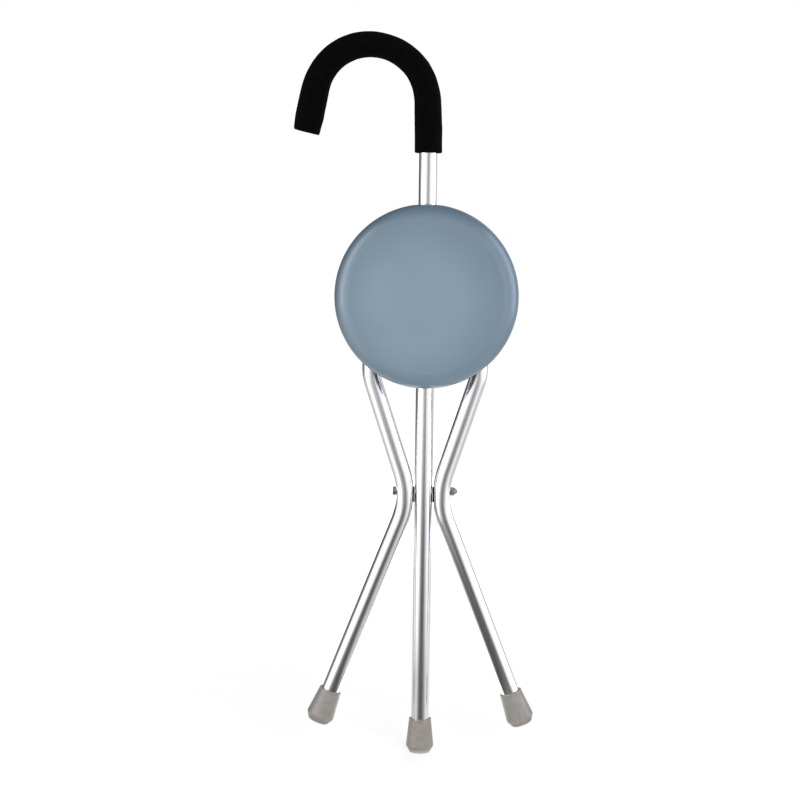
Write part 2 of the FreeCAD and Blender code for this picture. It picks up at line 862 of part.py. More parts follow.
def pivot_spacer(label, side):
    """A black nylon pad on the bolt, with a tail down the flat of the neck."""
    owner = new_body(label)
    drawn = new_sketch(owner, "XY_Plane", label + "_pad")
    half = size("spacer_half_width")
    top = size("spacer_above") - half
    foot = half - size("spacer_below")
    add_outline(drawn, [
        (half, top), (-half, top, 0, top, 1), (-half, foot), (half, foot, 0, foot, 1)])
    pad(owner, drawn, size("spacer_thickness") - size("spacer_play"))
    hole = new_sketch(owner, "XY_Plane", label + "_hole")
    add_circle(hole, size("bolt_hole"))
    cut(owner, hole, both_ways=True)
    stand = pole_radius + size("spacer_play")
    spin_up = Rotation(Vector(0, 0, 1), Vector(side, 0, 0))
    owner.Placement = Placement(
        Vector(side * stand.value, 0, SIZES["pivot_height"]), upright_turn(spin_up))
    return owner


def upright_turn(turn):
    """The same direction for +Z, with the piece's own +Y pointing up."""
    tip = turn.multVec(Vector(0, 1, 0))
    normal = turn.multVec(Vector(0, 0, 1))
    angle = math.degrees(tip.getAngle(Vector(0, 0, 1)))
    if tip.cross(Vector(0, 0, 1)).dot(normal) < 0:
        angle = -angle
    return Rotation(normal, angle).multiply(turn)


def crush_sleeves():
    """Short steel tubes inside the necks, so that the bolt doesn't squash them."""
    play = size("sleeve_play")
    length = size("neck_width") - 2 * size("tube_wall") - 2 * play
    start = neck_inner_face + size("tube_wall") + play
    pieces = []
    for side in (-1, 1):
        piece = ring_body("crush_sleeve", size("bush_diameter"), size("bolt_hole"), length)
        pieces.append(place_along_x(piece, start, size("pivot_height"), side))
    return grouped("crush_sleeves", pieces)


def pivot_washers():
    pieces = []
    for side in (-1, 1):
        piece = ring_body("pivot_washer", size("washer_diameter"), size("bolt_hole"),
                          size("washer_thickness"))
        pieces.append(place_along_x(piece, neck_outer_face, size("pivot_height"), side))
    return grouped("pivot_washers", pieces)


def pivot_bolt():
    """Its head is on the left, its thread comes out of the nut on the right."""
    seat = neck_outer_face + size("washer_thickness")
    length = 2 * seat + size("nut_height") + size("thread_end")
    owner = bolt("pivot_bolt", size("bolt_diameter"), length, size("hexagon_across"),
                 size("bolt_head_height"))
    return place_along_x(owner, seat, size("pivot_height"), -1)


def pivot_nut():
    seat = neck_outer_face + size("washer_thickness")
    owner = lock_nut("pivot_nut", size("bolt_diameter"), size("hexagon_across"), size("nut_height"))
    return place_along_x(owner, seat, size("pivot_height"), 1)


# Seat hinges at the tops of the legs

def hinge_bush(label, side):
    length = size("leg_diameter") + 2 * size("bush_stand")
    owner = ring_body(label, size("bush_diameter"), size("bush_bore"), length)
    start = size("leg_top_offset") - leg_radius - size("bush_stand")
    return place_along_x(owner, start, hinge_height, side)


def hinge_head_seat():
    """How far out the washer under a hinge bolt's head begins."""
    return size("leg_top_offset") + leg_radius + size("bush_stand") + size("hinge_play")


def hinge_washers():
    pieces = []
    for side in (-1, 1):
        piece = ring_body("hinge_washer", size("washer_diameter"), size("bolt_diameter"),
                          size("washer_thickness"))
        pieces.append(place_along_x(piece, hinge_head_seat(), hinge_height, side))
    return grouped("hinge_washers", pieces)


def hinge_bolt(label, side):
    ear_inside = size("bracket_half_width") - size("steel_thickness")
    head_seat = hinge_head_seat() + size("washer_thickness")
    length = head_seat - ear_inside + size("nut_height") + size("thread_end")
    owner = bolt(label, size("bolt_diameter"), length, size("hexagon_across"),
                 size("bolt_head_height"))
    return place_along_x(owner, head_seat, hinge_height, side)


def hinge_nut(label, side):
    ear_inside = size("bracket_half_width") - size("steel_thickness")
    owner = lock_nut(label, size("bolt_diameter"), size("hexagon_across"), size("nut_height"))
    return place_along_x(owner, -ear_inside, hinge_height, -side)


# The seat. Its pieces share a frame of their own: the origin on the stick's axis behind the
# middle of the seat, +Z forward out of the seat's face, +Y up and +X to the right.

def seat_placement():
    return place(z=SIZES["seat_centre_height"], axis=(1, 0, 0), angle=90)


hinge_y = hinge_height - size("seat_centre_height")
collar_y = collar_height_now - size("seat_centre_height")


def shell_profile(owner):
    """Half of the shell's section: dished face, rolled rim and upright skirt."""
    radius = size("seat_diameter") / 2
    rim = size("seat_rim_radius")
    wall = size("seat_wall")
    face = size("seat_face_depth")
    skirt = size("seat_skirt_depth")
    dish = size("seat_dish")
    rim_x = radius - rim
    rim_z = face - rim
    edge = radius - size("seat_skirt_draft")
    drawn = new_sketch(owner, "XZ_Plane", "shell_section")
    flat = size("seat_flat_radius")
    add_outline(drawn, [
        (0, face - dish), (flat, face - dish), (rim_x, face), (radius, rim_z, rim_x, rim_z, -1),
        (edge, skirt), (edge - wall, skirt), (radius - wall, rim_z),
        (rim_x, face - wall, rim_x, rim_z, 1),
        (flat, face - dish - wall), (0, face - dish - wall)])
    spin(owner, drawn)


def radial_ribs(owner):
    """Eight moulded ribs under the face, from the middle out into the rim."""
    radius = size("seat_diameter") / 2
    rim = size("seat_rim_radius")
    half_wall = size("seat_wall") / 2
    face = size("seat_face_depth") - half_wall
    rim_x = radius - rim
    rim_z = size("seat_face_depth") - rim
    reach = rim - half_wall
    drawn = new_sketch(owner, "XZ_Plane", "rib_side")
    start = size("rib_start_radius")
    bottom = size("rib_depth")
    rise = bottom - rim_z
    end = rim_x + root(reach * reach - rise * rise)
    add_outline(drawn, [
        (start, bottom), (start, face - size("seat_dish")), (rim_x, face),
        (end, bottom, rim_x, rim_z, -1)])
    rib = pad(owner, drawn, size("rib_thickness"), both_ways=True)
    pattern = owner.newObject("PartDesign::PolarPattern", "rib_ring")
    pattern.Originals = [rib]
    pattern.Axis = (drawn, ["V_Axis"])
    pattern.Angle = 360
    pattern.Occurrences = rib_count
    owner.Tip = pattern
    doc.recompute()
    return pattern


def ring_rib(owner):
    drawn = new_sketch(owner, "XY_Plane", "ring_rib", size("rib_depth"))
    radius = size("ring_rib_radius")
    add_circle(drawn, 2 * radius + size("rib_thickness"))
    add_circle(drawn, 2 * radius - size("rib_thickness"))
    pad(owner, drawn, size("seat_face_depth") - size("rib_depth") - size("seat_wall"))


def screw_places():
    """The four screws that hold the bracket: two beside the hinges, two near the nose."""
    low = size("boss_pitch_low")
    high = size("boss_pitch_high")
    wide = size("boss_pitch_x")
    narrow = size("boss_x_high")
    return [(wide, low), (-wide, low), (narrow, high), (-narrow, high)]


def screw_bosses(owner):
    bottom = size("bracket_depth") + size("steel_thickness")
    top = size("seat_face_depth") - size("seat_wall")
    drawn = new_sketch(owner, "XY_Plane", "bosses", bottom)
    for x, y in screw_places():
        add_circle(drawn, size("boss_diameter"), x, y)
    pad(owner, drawn, top - bottom)
    holes = new_sketch(owner, "XY_Plane", "boss_holes", bottom)
    for x, y in screw_places():
        add_circle(holes, size("screw_diameter"), x, y)
    cut(owner, holes, size("screw_length") + size("screw_point"), reverse=True)


def pole_notch(owner):
    """The opening in the skirt through which the stick leans back when the seat is open."""
    radius = size("seat_diameter") / 2
    half = size("notch_width") / 2
    below = size("seat_skirt_depth") - size("seat_wall")
    drawn = new_sketch(owner, "XZ_Plane", "notch", -(radius + size("seat_skirt_draft")))
    top = size("notch_depth")
    corner = size("notch_corner")
    shoulder = top - corner
    add_outline(drawn, [
        (half, below), (half, shoulder), (half - corner, top, half - corner, shoulder, 1),
        (corner - half, top), (-half, shoulder, corner - half, shoulder, 1), (-half, below)])
    cut(owner, drawn, size("notch_length"), reverse=True)


def seat_shell():
    owner = new_body("seat_shell")
    shell_profile(owner)
    radial_ribs(owner)
    ring_rib(owner)
    screw_bosses(owner)
    pole_notch(owner)
    owner.Placement = seat_placement()
    return owner


# The bracket: one pressed sheet with four ears

def bracket_plate(owner):
    wide = size("bracket_half_width")
    nose = size("bracket_nose_half_width")
    waist = size("bracket_waist_half_width")
    drawn = new_sketch(owner, "XY_Plane", "plate", size("bracket_depth"))
    add_outline(drawn, [
        (wide, size("bracket_foot")), (wide, size("bracket_shoulder")),
        (waist, size("bracket_waist")), (nose, size("nose_ear_foot")),
        (nose, size("bracket_nose")), (-nose, size("bracket_nose")),
        (-nose, size("nose_ear_foot")), (-waist, size("bracket_waist")),
        (-wide, size("bracket_shoulder")), (-wide, size("bracket_foot"))])
    pad(owner, drawn, size("steel_thickness"))


def hinge_ear(owner, name, x):
    """An ear beside a leg, bent back from the plate round the hinge bolt."""
    drawn = new_sketch(owner, "YZ_Plane", name, x)
    plate = size("bracket_depth") + size("steel_thickness")
    radius = size("hinge_ear_radius")
    add_outline(drawn, [
        (size("bracket_foot"), plate), (hinge_y - radius, 0),
        (hinge_y + radius, 0, hinge_y, 0, 1), (size("bracket_shoulder"), plate)])
    pad(owner, drawn, size("steel_thickness"))
    hole = new_sketch(owner, "YZ_Plane", name + "_hole", x)
    add_circle(hole, size("bolt_diameter"), hinge_y, 0)
    cut(owner, hole, size("steel_thickness"), reverse=True)


def nose_ear(owner, name, x):
    """An ear that reaches forward beside the collar to its rivet."""
    drawn = new_sketch(owner, "YZ_Plane", name, x)
    plate = size("bracket_depth") + size("steel_thickness")
    radius = size("nose_ear_radius")
    lean = radius * diagonal
    add_outline(drawn, [
        (size("nose_ear_foot"), plate), (collar_y - lean, -lean),
        (collar_y + radius, 0, collar_y, 0, 1), (size("bracket_nose"), plate)])
    pad(owner, drawn, size("steel_thickness"))
    hole = new_sketch(owner, "YZ_Plane", name + "_hole", x)
    add_circle(hole, size("ear_hole"), collar_y, 0)
    cut(owner, hole, size("steel_thickness"), reverse=True)


def bracket_holes(owner):
    drawn = new_sketch(owner, "XY_Plane", "bracket_holes", size("bracket_depth"))
    for x, y in screw_places():
        add_circle(drawn, size("screw_diameter") + size("screw_hole_play"), x, y)
    add_circle(drawn, size("buffer_stem"), 0, size("buffer_y"))
    add_circle(drawn, size("lightening_hole"), 0, size("lightening_y"))
    cut(owner, drawn, size("steel_thickness"), reverse=True)


def is_fold_edge(edge):
    """A long outer edge where the sheet turns from the plate into an ear."""
    plate = SIZES["bracket_depth"] + SIZES["steel_thickness"]
    if not isinstance(edge.Curve, Part.Line) or edge.Length < SIZES["shortest_bend"]:
        return False
    middle = edge.CenterOfMass
    at_side = min(abs(abs(middle.x) - SIZES["bracket_half_width"]),
                  abs(abs(middle.x) - SIZES["bracket_nose_half_width"])) < edge_slack
    return at_side and abs(middle.z - plate) < edge_slack


def seat_bracket():
    owner = new_body("seat_bracket")
    steel = size("steel_thickness")
    bracket_plate(owner)
    hinge_ear(owner, "right_ear", size("bracket_half_width") - steel)
    hinge_ear(owner, "left_ear", -size("bracket_half_width"))
    nose_ear(owner, "right_nose_ear", size("bracket_nose_half_width") - steel)
    nose_ear(owner, "left_nose_ear", -size("bracket_nose_half_width"))
    bracket_holes(owner)
    round_edges(owner, size("bend_radius"), is_fold_edge)
    owner.Placement = seat_placement()
    return owner


def seat_screws():
    """Round-headed screws driven forward through the bracket into the seat's bosses."""
    pieces = []
    half = size("screw_diameter") / 2
    head = size("screw_head_diameter") / 2
    rise = size("screw_head_height")
    tip = size("steel_thickness") + size("screw_length")
    for x, y in screw_places():
        piece = turned("seat_screw", [
            (0, -rise), (head, 0, 0, dome_drop(head, rise), 1), (half, 0),
            (half, tip - size("screw_point")), (0, tip)])
        spot = Placement(Vector(x.value, y.value, SIZES["bracket_depth"]), Rotation())
        piece.Placement = seat_placement().multiply(spot)
        pieces.append(piece)
    return grouped("seat_screws", pieces)


def rest_buffer():
    """The rubber button that meets the stick when the seat is folded against it."""
    half = size("buffer_diameter") / 2
    stem = size("buffer_stem") / 2
    plate = size("bracket_depth")
    front = plate + size("steel_thickness")
    tip = front + size("buffer_catch")
    edge = size("buffer_edge")
    back = pole_radius + size("spacer_play")
    owner = turned("rest_buffer", [
        (0, back), (half - edge, back), (half, back + edge), (half, plate), (stem, plate),
        (stem, front), (stem + edge, front), (stem, tip), (0, tip)])
    spot = Placement(Vector(0, SIZES["buffer_y"], 0), Rotation())
    owner.Placement = seat_placement().multiply(spot)
    return owner


# The collar that slides on the stick

def slide_collar():
    owner = new_body("slide_collar")
    low = collar_height_now - size("collar_height") / 2
    ring = new_sketch(owner, "XY_Plane", "collar_ring", low)
    add_circle(ring, size("collar_diameter"))
    pad(owner, ring, size("collar_height"))
    side = new_sketch(owner, "YZ_Plane", "collar_bosses")
    add_circle(side, size("collar_boss_diameter"), 0, collar_height_now)
    pad(owner, side, size("collar_diameter") + 2 * size("collar_boss_stand"), both_ways=True)
    bore = new_sketch(owner, "XY_Plane", "collar_bore", low)
    add_circle(bore, size("collar_bore"))
    cut(owner, bore, size("collar_height"), reverse=True)
    pins = new_sketch(owner, "YZ_Plane", "collar_pin_holes")
    add_circle(pins, size("rivet_diameter"), 0, collar_height_now)
    cut(owner, pins, both_ways=True)
    rim = size("collar_diameter") / 2
    rims = either(ring_at(rim, low), ring_at(rim, low + size("collar_height")))
    chamfer_edges(owner, size("collar_edge"), rims)
    return owner


def either(*tests):
    def passes(edge):
        return any(test(edge) for test in tests)
    return passes


def collar_rivets():
    """Two rivets that carry the seat's nose on the collar."""
    start = size("collar_bore") / 2 + size("rivet_start")
    ear = size("bracket_nose_half_width") + size("rivet_play")
    half = size("rivet_diameter") / 2
    head = size("rivet_head_diameter") / 2
    rise = size("rivet_head_height")
    pieces = []
    for side in (-1, 1):
        piece = turned("collar_rivet", [
            (0, start), (half, start), (half, ear), (head, ear),
            (0, ear + rise, 0, ear - dome_drop(head, rise), 1)])
        pieces.append(place_along_x(piece, 0, collar_height_now, side))
    return grouped("collar_rivets", pieces)


# The bolt through the stick that carries the collar of the open seat

def stop_bolt():
    length = size("pole_diameter") + size("stop_nut_height") + size("stop_thread_end")
    owner = bolt("stop_bolt", size("stop_bolt_diameter"), length, size("stop_bolt_head"),
                 size("stop_bolt_head_height"))
    owner.Placement = place(y=-pole_radius.value, z=stop_height().value, axis=(1, 0, 0), angle=90)
    return owner


def stop_nut():
    owner = lock_nut("stop_nut", size("stop_bolt_diameter"), size("stop_bolt_head"),
                     size("stop_nut_height"))
    owner.Placement = place(y=pole_radius.value, z=stop_height().value, axis=(1, 0, 0), angle=-90)
    return owner


# Putting it together

def stick_pieces():
    return [main_tube(), foam_grip(), crook_end_plug(), ferrule("main_ferrule"),
            foot_disc("main_foot_disc"), pivot_sleeve(), stop_bolt(), stop_nut()]


def leg_pieces():
    made = leg_tubes()
    for name, side in (("left", -1), ("right", 1)):
        foot = ferrule(name + "_ferrule")
        foot.Placement = foot_placement(side)
        disc = foot_disc(name + "_foot_disc")
        disc.Placement = foot_placement(side)
        made += [foot, disc, leg_cap(name + "_leg_cap", side),
                 pivot_spacer(name + "_pivot_spacer", side),
                 hinge_bush(name + "_hinge_bush", side)]
    return made + [crush_sleeves(), pivot_washers(), pivot_bolt(), pivot_nut()]


def seat_pieces():
    made = [seat_shell(), seat_bracket(), seat_screws(), rest_buffer(), hinge_washers()]
    for name, side in (("left", -1), ("right", 1)):
        made += [hinge_bolt(name + "_hinge_bolt", side), hinge_nut(name + "_hinge_nut", side)]
    return made


def collar_pieces():
    return [slide_collar(), collar_rivets()]


def check_document(pieces):
    """Stop if any feature failed or any piece isn't a valid solid."""
    for item in doc.Objects:
        if "Invalid" in item.State or "Error" in item.State:
            raise ValueError("%s failed: %s" % (item.Name, item.State))
    for piece in pieces:
        shape = piece.Shape
        if shape.isNull() or not shape.isValid() or not shape.Solids:
            raise ValueError(piece.Label + " has no valid solid")
        print("%-20s %2d solid %9.0f mm3" % (piece.Label, len(shape.Solids), shape.Volume))


def main():
    pieces = stick_pieces() + leg_pieces() + seat_pieces() + collar_pieces()
    doc.recompute()
    check_document(pieces)
    os.makedirs("parts", exist_ok=True)
    for piece in pieces:
        piece.Shape.exportStep("parts/%s.step" % piece.Label)
    print("%d pieces" % len(pieces))


main()
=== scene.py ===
# %% [markdown]
# A walking stick seat: a crook-handled stick with two side legs and a round seat.
#
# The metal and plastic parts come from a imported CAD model, which is loaded as a fixed frame and
# stands as it is measured. Blender adds what a drawing leaves out: the foam of the grip, threads
# and chamfers on the bolts, the finish of every surface, and the light. Everything is in metres,
# +Z runs up the stick and the seat faces -Y, so a piece goes where the CAD has its place.

import json
import math

import bpy
from mathutils import Matrix, Vector


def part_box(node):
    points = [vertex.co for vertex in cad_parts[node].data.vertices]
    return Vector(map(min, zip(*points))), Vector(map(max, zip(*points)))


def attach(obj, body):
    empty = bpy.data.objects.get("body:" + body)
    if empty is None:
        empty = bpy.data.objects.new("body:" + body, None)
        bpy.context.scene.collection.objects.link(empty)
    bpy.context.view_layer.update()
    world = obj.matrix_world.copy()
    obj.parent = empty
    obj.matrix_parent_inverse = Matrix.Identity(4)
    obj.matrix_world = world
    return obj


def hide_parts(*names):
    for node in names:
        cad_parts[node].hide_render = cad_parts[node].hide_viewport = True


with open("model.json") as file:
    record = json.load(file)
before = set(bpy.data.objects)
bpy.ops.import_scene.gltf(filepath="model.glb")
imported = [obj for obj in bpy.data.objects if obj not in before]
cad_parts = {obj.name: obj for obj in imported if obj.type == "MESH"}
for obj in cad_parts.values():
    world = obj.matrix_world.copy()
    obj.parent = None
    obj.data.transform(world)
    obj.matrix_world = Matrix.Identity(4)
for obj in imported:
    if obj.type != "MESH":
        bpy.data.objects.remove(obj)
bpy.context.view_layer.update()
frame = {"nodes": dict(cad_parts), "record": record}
nodes = frame["nodes"]

# %% [markdown]
# The camera comes first, because every later choice is judged through it.
#
# The picture was taken from a little over two metres away, at about two thirds of the stick's
# height, looking slightly down: the rim of the stick's foot sags in an arc, while the lower edge
# of the grip is a straight line. Tilting the camera shows that as it is, where a lens shift would
# also show it but would push every other view off centre. A small roll makes the stick lean.

# %% Place the camera
camera_place = Vector((-0.0303, -2.300, 0.650))
camera_pitch = math.radians(5.223)
camera_roll = math.radians(0.774)
lens_mm = 84.67
sensor_mm = 36.0

camera_data = bpy.data.cameras.new("camera")
camera_data.lens = lens_mm
camera_data.sensor_width = sensor_mm
camera = bpy.data.objects.new("camera", camera_data)
bpy.context.scene.collection.objects.link(camera)
tilt = Matrix.Rotation(math.radians(90) - camera_pitch, 4, "X")
roll = Matrix.Rotation(camera_roll, 4, "Z")
camera.matrix_world = Matrix.Translation(camera_place) @ tilt @ roll
bpy.context.scene.camera = camera
print("lens", lens_mm, "mm, pitch", round(math.degrees(camera_pitch), 2), "degrees down")

# %% [markdown]
# Most finishes here are made of the same few nodes: a coordinate, a noise, a ramp and a bump.
#
# Each of them could be placed by hand in every material. A few short helpers keep the recipes
# readable, so that a material below says what the surface is like and little else. All patterns
# read Object coordinates, which are real metres here, so a scale of 1000 is about a millimetre.

# %% Helpers for node materials
def linear(red, green, blue):
    """A colour as it is seen on a screen, 0 to 255, in the linear values that shaders use."""
    values = []
    for level in (red, green, blue):
        level = level / 255
        values.append(level / 12.92 if level < 0.04 else ((level + 0.055) / 1.055) ** 2.4)
    return (*values, 1.0)


def start_material(name):
    """A new material with its node tree and its shader."""
    made = bpy.data.materials.new(name)
    made.use_nodes = True
    return made, made.node_tree, made.node_tree.nodes["Principled BSDF"]


def add_node(tree, kind, numbers=None, links=None):
    """A node with numbers set on some sockets and outputs of other nodes linked to some."""
    made = tree.nodes.new("ShaderNode" + kind)
    for name, number in (numbers or {}).items():
        made.inputs[name].default_value = number
    for name, output in (links or {}).items():
        tree.links.new(output, made.inputs[name])
    return made


# %% Coordinates, noise and ramps
def real_coordinates(tree, stretch=(1, 1, 1), start=(0, 0, 0)):
    """Object coordinates, stretched and moved for a pattern."""
    source = add_node(tree, "TexCoord")
    mapping = add_node(tree, "Mapping", {"Scale": stretch, "Location": start},
                       {"Vector": source.outputs["Object"]})
    return mapping.outputs["Vector"]


def length_of(tree, vector):
    """How far a place is from the start of its coordinates."""
    made = add_node(tree, "VectorMath", links={0: vector})
    made.operation = "LENGTH"
    return made.outputs["Value"]


def noise(tree, vector, scale, detail):
    """A cloudy pattern from 0 to 1. A larger scale makes smaller clouds."""
    made = add_node(tree, "TexNoise", {"Scale": scale, "Detail": detail}, {"Vector": vector})
    return made.outputs["Fac"]


def ramp(tree, factor, stops):
    """A colour ramp. Each stop is a place from 0 to 1 and a colour, or one grey value."""
    made = add_node(tree, "ValToRGB", links={"Fac": factor})
    points = made.color_ramp.elements
    points[0].position = stops[0][0]
    points[-1].position = stops[-1][0]
    for place, colour in stops[1:-1]:
        points.new(place)
    for point, (place, colour) in zip(points, stops):
        point.color = colour if isinstance(colour, tuple) else (colour, colour, colour, 1.0)
    return made.outputs["Color"]


def bump(tree, height, strength, distance, after=None):
    """A normal that is roughened by a height. After is another bump that this one adds to."""
    links = {"Height": height}
    if after:
        links["Normal"] = after
    made = add_node(tree, "Bump", {"Strength": strength, "Distance": distance}, links)
    return made.outputs["Normal"]


def fade(tree, value, start, end, first=0.0, last=1.0, smooth=False):
    """A number that goes from first to last while a value goes from start to end."""
    made = add_node(tree, "MapRange", {"From Min": start, "From Max": end, "To Min": first,
                                       "To Max": last}, {"Value": value})
    if smooth:
        made.interpolation_type = "SMOOTHSTEP"
    return made.outputs["Result"]


def mix_colour(tree, factor, first, second):
    """Two colours mixed by a factor. Each is an output of a node or plain values."""
    made = add_node(tree, "Mix")
    made.data_type = "RGBA"
    tree.links.new(factor, made.inputs["Factor"])
    for socket, colour in ((made.inputs[6], first), (made.inputs[7], second)):
        if isinstance(colour, tuple):
            socket.default_value = colour
        else:
            tree.links.new(colour, socket)
    return made.outputs[2]


# %% [markdown]
# The three tubes are drawn aluminium, brightly anodised. The metal mirrors the room in long soft
# streaks, and the drawing die leaves a grain of very fine lines along the tube.
#
# A flat grey metal would look like grey paint. What makes it aluminium is the reflection, so the
# shader is pure metal with a low roughness, the grain is a noise that is squeezed across the tube
# and stretched along it, and the same grain varies the roughness a little.

# %% Aluminium
def aluminium():
    """Bright drawn tube: a mirror with a grain along it."""
    made, tree, shader = start_material("tube_aluminium_drawn")
    along = real_coordinates(tree, stretch=(1, 1, 0.012))
    grain = noise(tree, along, 2200, 3)
    clouds = noise(tree, real_coordinates(tree, stretch=(1, 1, 0.25)), 60, 2)
    roughness = ramp(tree, grain, [(0.3, 0.15), (0.7, 0.23)])
    tree.links.new(roughness, shader.inputs["Roughness"])
    tint = ramp(tree, clouds, [(0.3, linear(238, 238, 240)), (0.7, linear(246, 246, 247))])
    tree.links.new(tint, shader.inputs["Base Color"])
    shader.inputs["Metallic"].default_value = 1.0
    tree.links.new(bump(tree, grain, 0.05, 0.00005), shader.inputs["Normal"])
    return made


# %% [markdown]
# The seat is one moulded piece of polypropylene, blue-grey and satin. Its surface has a very fine
# grain from the spark-eroded mould, and the colour is a little uneven, as moulded plastic is.
# Painted light makes the middle of the seat slightly lighter, and painted shade makes the edge
# darker.
#
# The grain is much smaller than a pixel from two metres away, but it is what spreads the gloss,
# so it is there as bump. The unevenness is a slow noise of a few percent.

# %% Seat plastic
from_seat_middle = (0.012, 0.052, -0.562)
# How far from the middle the painted light lasts, and where the painted shade of the edge is full.
lit_middle_reach = 0.04
shaded_edge_reach = 0.112


def seat_plastic():
    """Satin blue-grey plastic, with painted light in the middle and painted shade at the edge."""
    made, tree, shader = start_material("seat_plastic_satin")
    coords = real_coordinates(tree)
    slow = noise(tree, coords, 14, 3)
    # A lighter colour is painted as light in the middle, and a darker one is painted as shade at
    # the edge.
    lit_middle = ramp(tree, slow, [(0.25, linear(128, 149, 165)), (0.75, linear(134, 155, 171))])
    edge = ramp(tree, slow, [(0.25, linear(111, 132, 148)), (0.75, linear(117, 138, 154))])
    reach = length_of(tree, real_coordinates(tree, start=from_seat_middle))
    outer = fade(tree, reach, lit_middle_reach, shaded_edge_reach, smooth=True)
    colour = mix_colour(tree, outer, lit_middle, edge)
    tree.links.new(colour, shader.inputs["Base Color"])
    rough = ramp(tree, noise(tree, coords, 90, 2), [(0.2, 0.29), (0.8, 0.31)])
    tree.links.new(rough, shader.inputs["Roughness"])
    shader.inputs["Specular IOR Level"].default_value = 0.75
    fine = bump(tree, noise(tree, coords, 1800, 2), 0.04, 0.0001)
    tree.links.new(fine, shader.inputs["Normal"])
    return made


# %% [markdown]
# The feet are warm grey rubber, moulded in two halves: smooth, slightly glossy, marked by the
# floors they stood on. Where the tube goes in, a brown tint is painted at the front of the mouth,
# and the lip round the stick's own sole is painted paler.
#
# Grey on its own would look like the plastic of the seat, so the rubber gets blotches, a soft
# broken gloss and a little sheen. The tint is a small stretched ball of colour that sits at the
# front of the mouth, and the paler lip is all that lies below a height.

# %% Ferrule rubber
# A brown tint painted at the front of the main foot's mouth: its shape, place, size and strength.
brown_tint_stretch = (140, 60, 476)
from_brown_tint = (0.22, 0.75, -18.95)
brown_tint_core, brown_tint_rim = 0.5, 1.1
brown_tint_strength = 0.8
# Below these heights the rubber is painted paler.
pale_below = 0.0040
full_colour_above = 0.0048


def ferrule_rubber():
    """Warm grey rubber with a brown tint at the mouth and a paler lip."""
    made, tree, shader = start_material("ferrule_rubber_grey")
    coords = real_coordinates(tree)
    blotches = noise(tree, coords, 130, 4)
    colour = ramp(tree, blotches, [(0.3, linear(148, 142, 136)), (0.5, linear(154, 148, 142)),
                                   (0.7, linear(161, 156, 150))])
    # The brown tint is painted on at the front of the mouth and broken up by the blotches.
    reach = length_of(tree, real_coordinates(tree, stretch=brown_tint_stretch, start=from_brown_tint))
    tint = fade(tree, reach, brown_tint_core, brown_tint_rim, first=brown_tint_strength, last=0.0)
    brown_tint_mask = add_node(tree, "Math", links={0: tint, 1: blotches})
    brown_tint_mask.operation = "MULTIPLY"
    colour = mix_colour(tree, brown_tint_mask.outputs[0], colour, linear(176, 120, 66))
    # Everything below a height is painted paler, which makes the lip round the sole.
    height = add_node(tree, "SeparateXYZ", links={0: coords}).outputs["Z"]
    pale_lip = fade(tree, height, pale_below, full_colour_above, first=1.0, last=0.0)
    colour = mix_colour(tree, pale_lip, colour, linear(190, 185, 180))
    tree.links.new(colour, shader.inputs["Base Color"])
    rough = ramp(tree, noise(tree, coords, 500, 3), [(0.3, 0.30), (0.7, 0.42)])
    tree.links.new(rough, shader.inputs["Roughness"])
    shader.inputs["Specular IOR Level"].default_value = 0.6
    shader.inputs["Sheen Weight"].default_value = 0.5
    shader.inputs["Sheen Roughness"].default_value = 0.4
    soft = bump(tree, noise(tree, coords, 700, 3), 0.25, 0.0002)
    tree.links.new(soft, shader.inputs["Normal"])
    return made


# %% [markdown]
# The small black parts, which are the collar, the caps, the spacers and the plug, are moulded
# nylon with a fine matt grain. The buffer behind the seat is softer black rubber. The bushes are
# natural nylon, a milky white that lets some light in.

# %% Black and white plastics
def grained_plastic(name, dark, light, rough, grain_scale, specular):
    """A moulded plastic: two close colours, a roughness and a grain."""
    made, tree, shader = start_material(name)
    coords = real_coordinates(tree)
    colour = ramp(tree, noise(tree, coords, 220, 3), [(0.3, dark), (0.7, light)])
    tree.links.new(colour, shader.inputs["Base Color"])
    spread = ramp(tree, noise(tree, coords, 400, 2), [(0.3, rough - 0.06), (0.7, rough + 0.06)])
    tree.links.new(spread, shader.inputs["Roughness"])
    shader.inputs["Specular IOR Level"].default_value = specular
    grain = bump(tree, noise(tree, coords, grain_scale, 2), 0.2, 0.0001)
    tree.links.new(grain, shader.inputs["Normal"])
    return made


# %% [markdown]
# Bolts, nuts, washers and rivets are zinc-plated steel: brighter than bare steel, with a faint
# yellow and blue cast and a crystalline mottle. The bracket under the seat is bent sheet steel
# with a grey powder coat, whose surface looks like the peel of an orange.

# %% Plated steel and powder coat
def zinc_steel():
    """Zinc plate: a dull mirror with a crystalline mottle."""
    made, tree, shader = start_material("zinc_plate")
    coords = real_coordinates(tree)
    mottle = add_node(tree, "TexVoronoi", {"Scale": 900.0}, {"Vector": coords})
    colour = ramp(tree, mottle.outputs["Distance"], [(0.0, linear(196, 198, 202)),
                                                     (1.0, linear(214, 212, 204))])
    tree.links.new(colour, shader.inputs["Base Color"])
    shader.inputs["Metallic"].default_value = 1.0
    rough = ramp(tree, noise(tree, coords, 700, 3), [(0.3, 0.26), (0.7, 0.4)])
    tree.links.new(rough, shader.inputs["Roughness"])
    tree.links.new(bump(tree, noise(tree, coords, 1500, 3), 0.12, 0.0001), shader.inputs["Normal"])
    return made


def powder_coat():
    """Grey powder coat with the peel of an orange."""
    made, tree, shader = start_material("bracket_powder_coat")
    coords = real_coordinates(tree)
    peel = noise(tree, coords, 900, 2)
    colour = ramp(tree, peel, [(0.3, linear(112, 114, 116)), (0.7, linear(124, 126, 128))])
    tree.links.new(colour, shader.inputs["Base Color"])
    shader.inputs["Roughness"].default_value = 0.42
    shader.inputs["Specular IOR Level"].default_value = 0.5
    tree.links.new(bump(tree, peel, 0.35, 0.0002), shader.inputs["Normal"])
    return made


# %% [markdown]
# The CAD nodes keep their shapes, which were measured, and only get these finishes. The packed
# record says which finish each node has, so the list below is written once, and a loop puts it
# into the nodes' material slots. The foam of the grip isn't in it: that node gets a new shape.

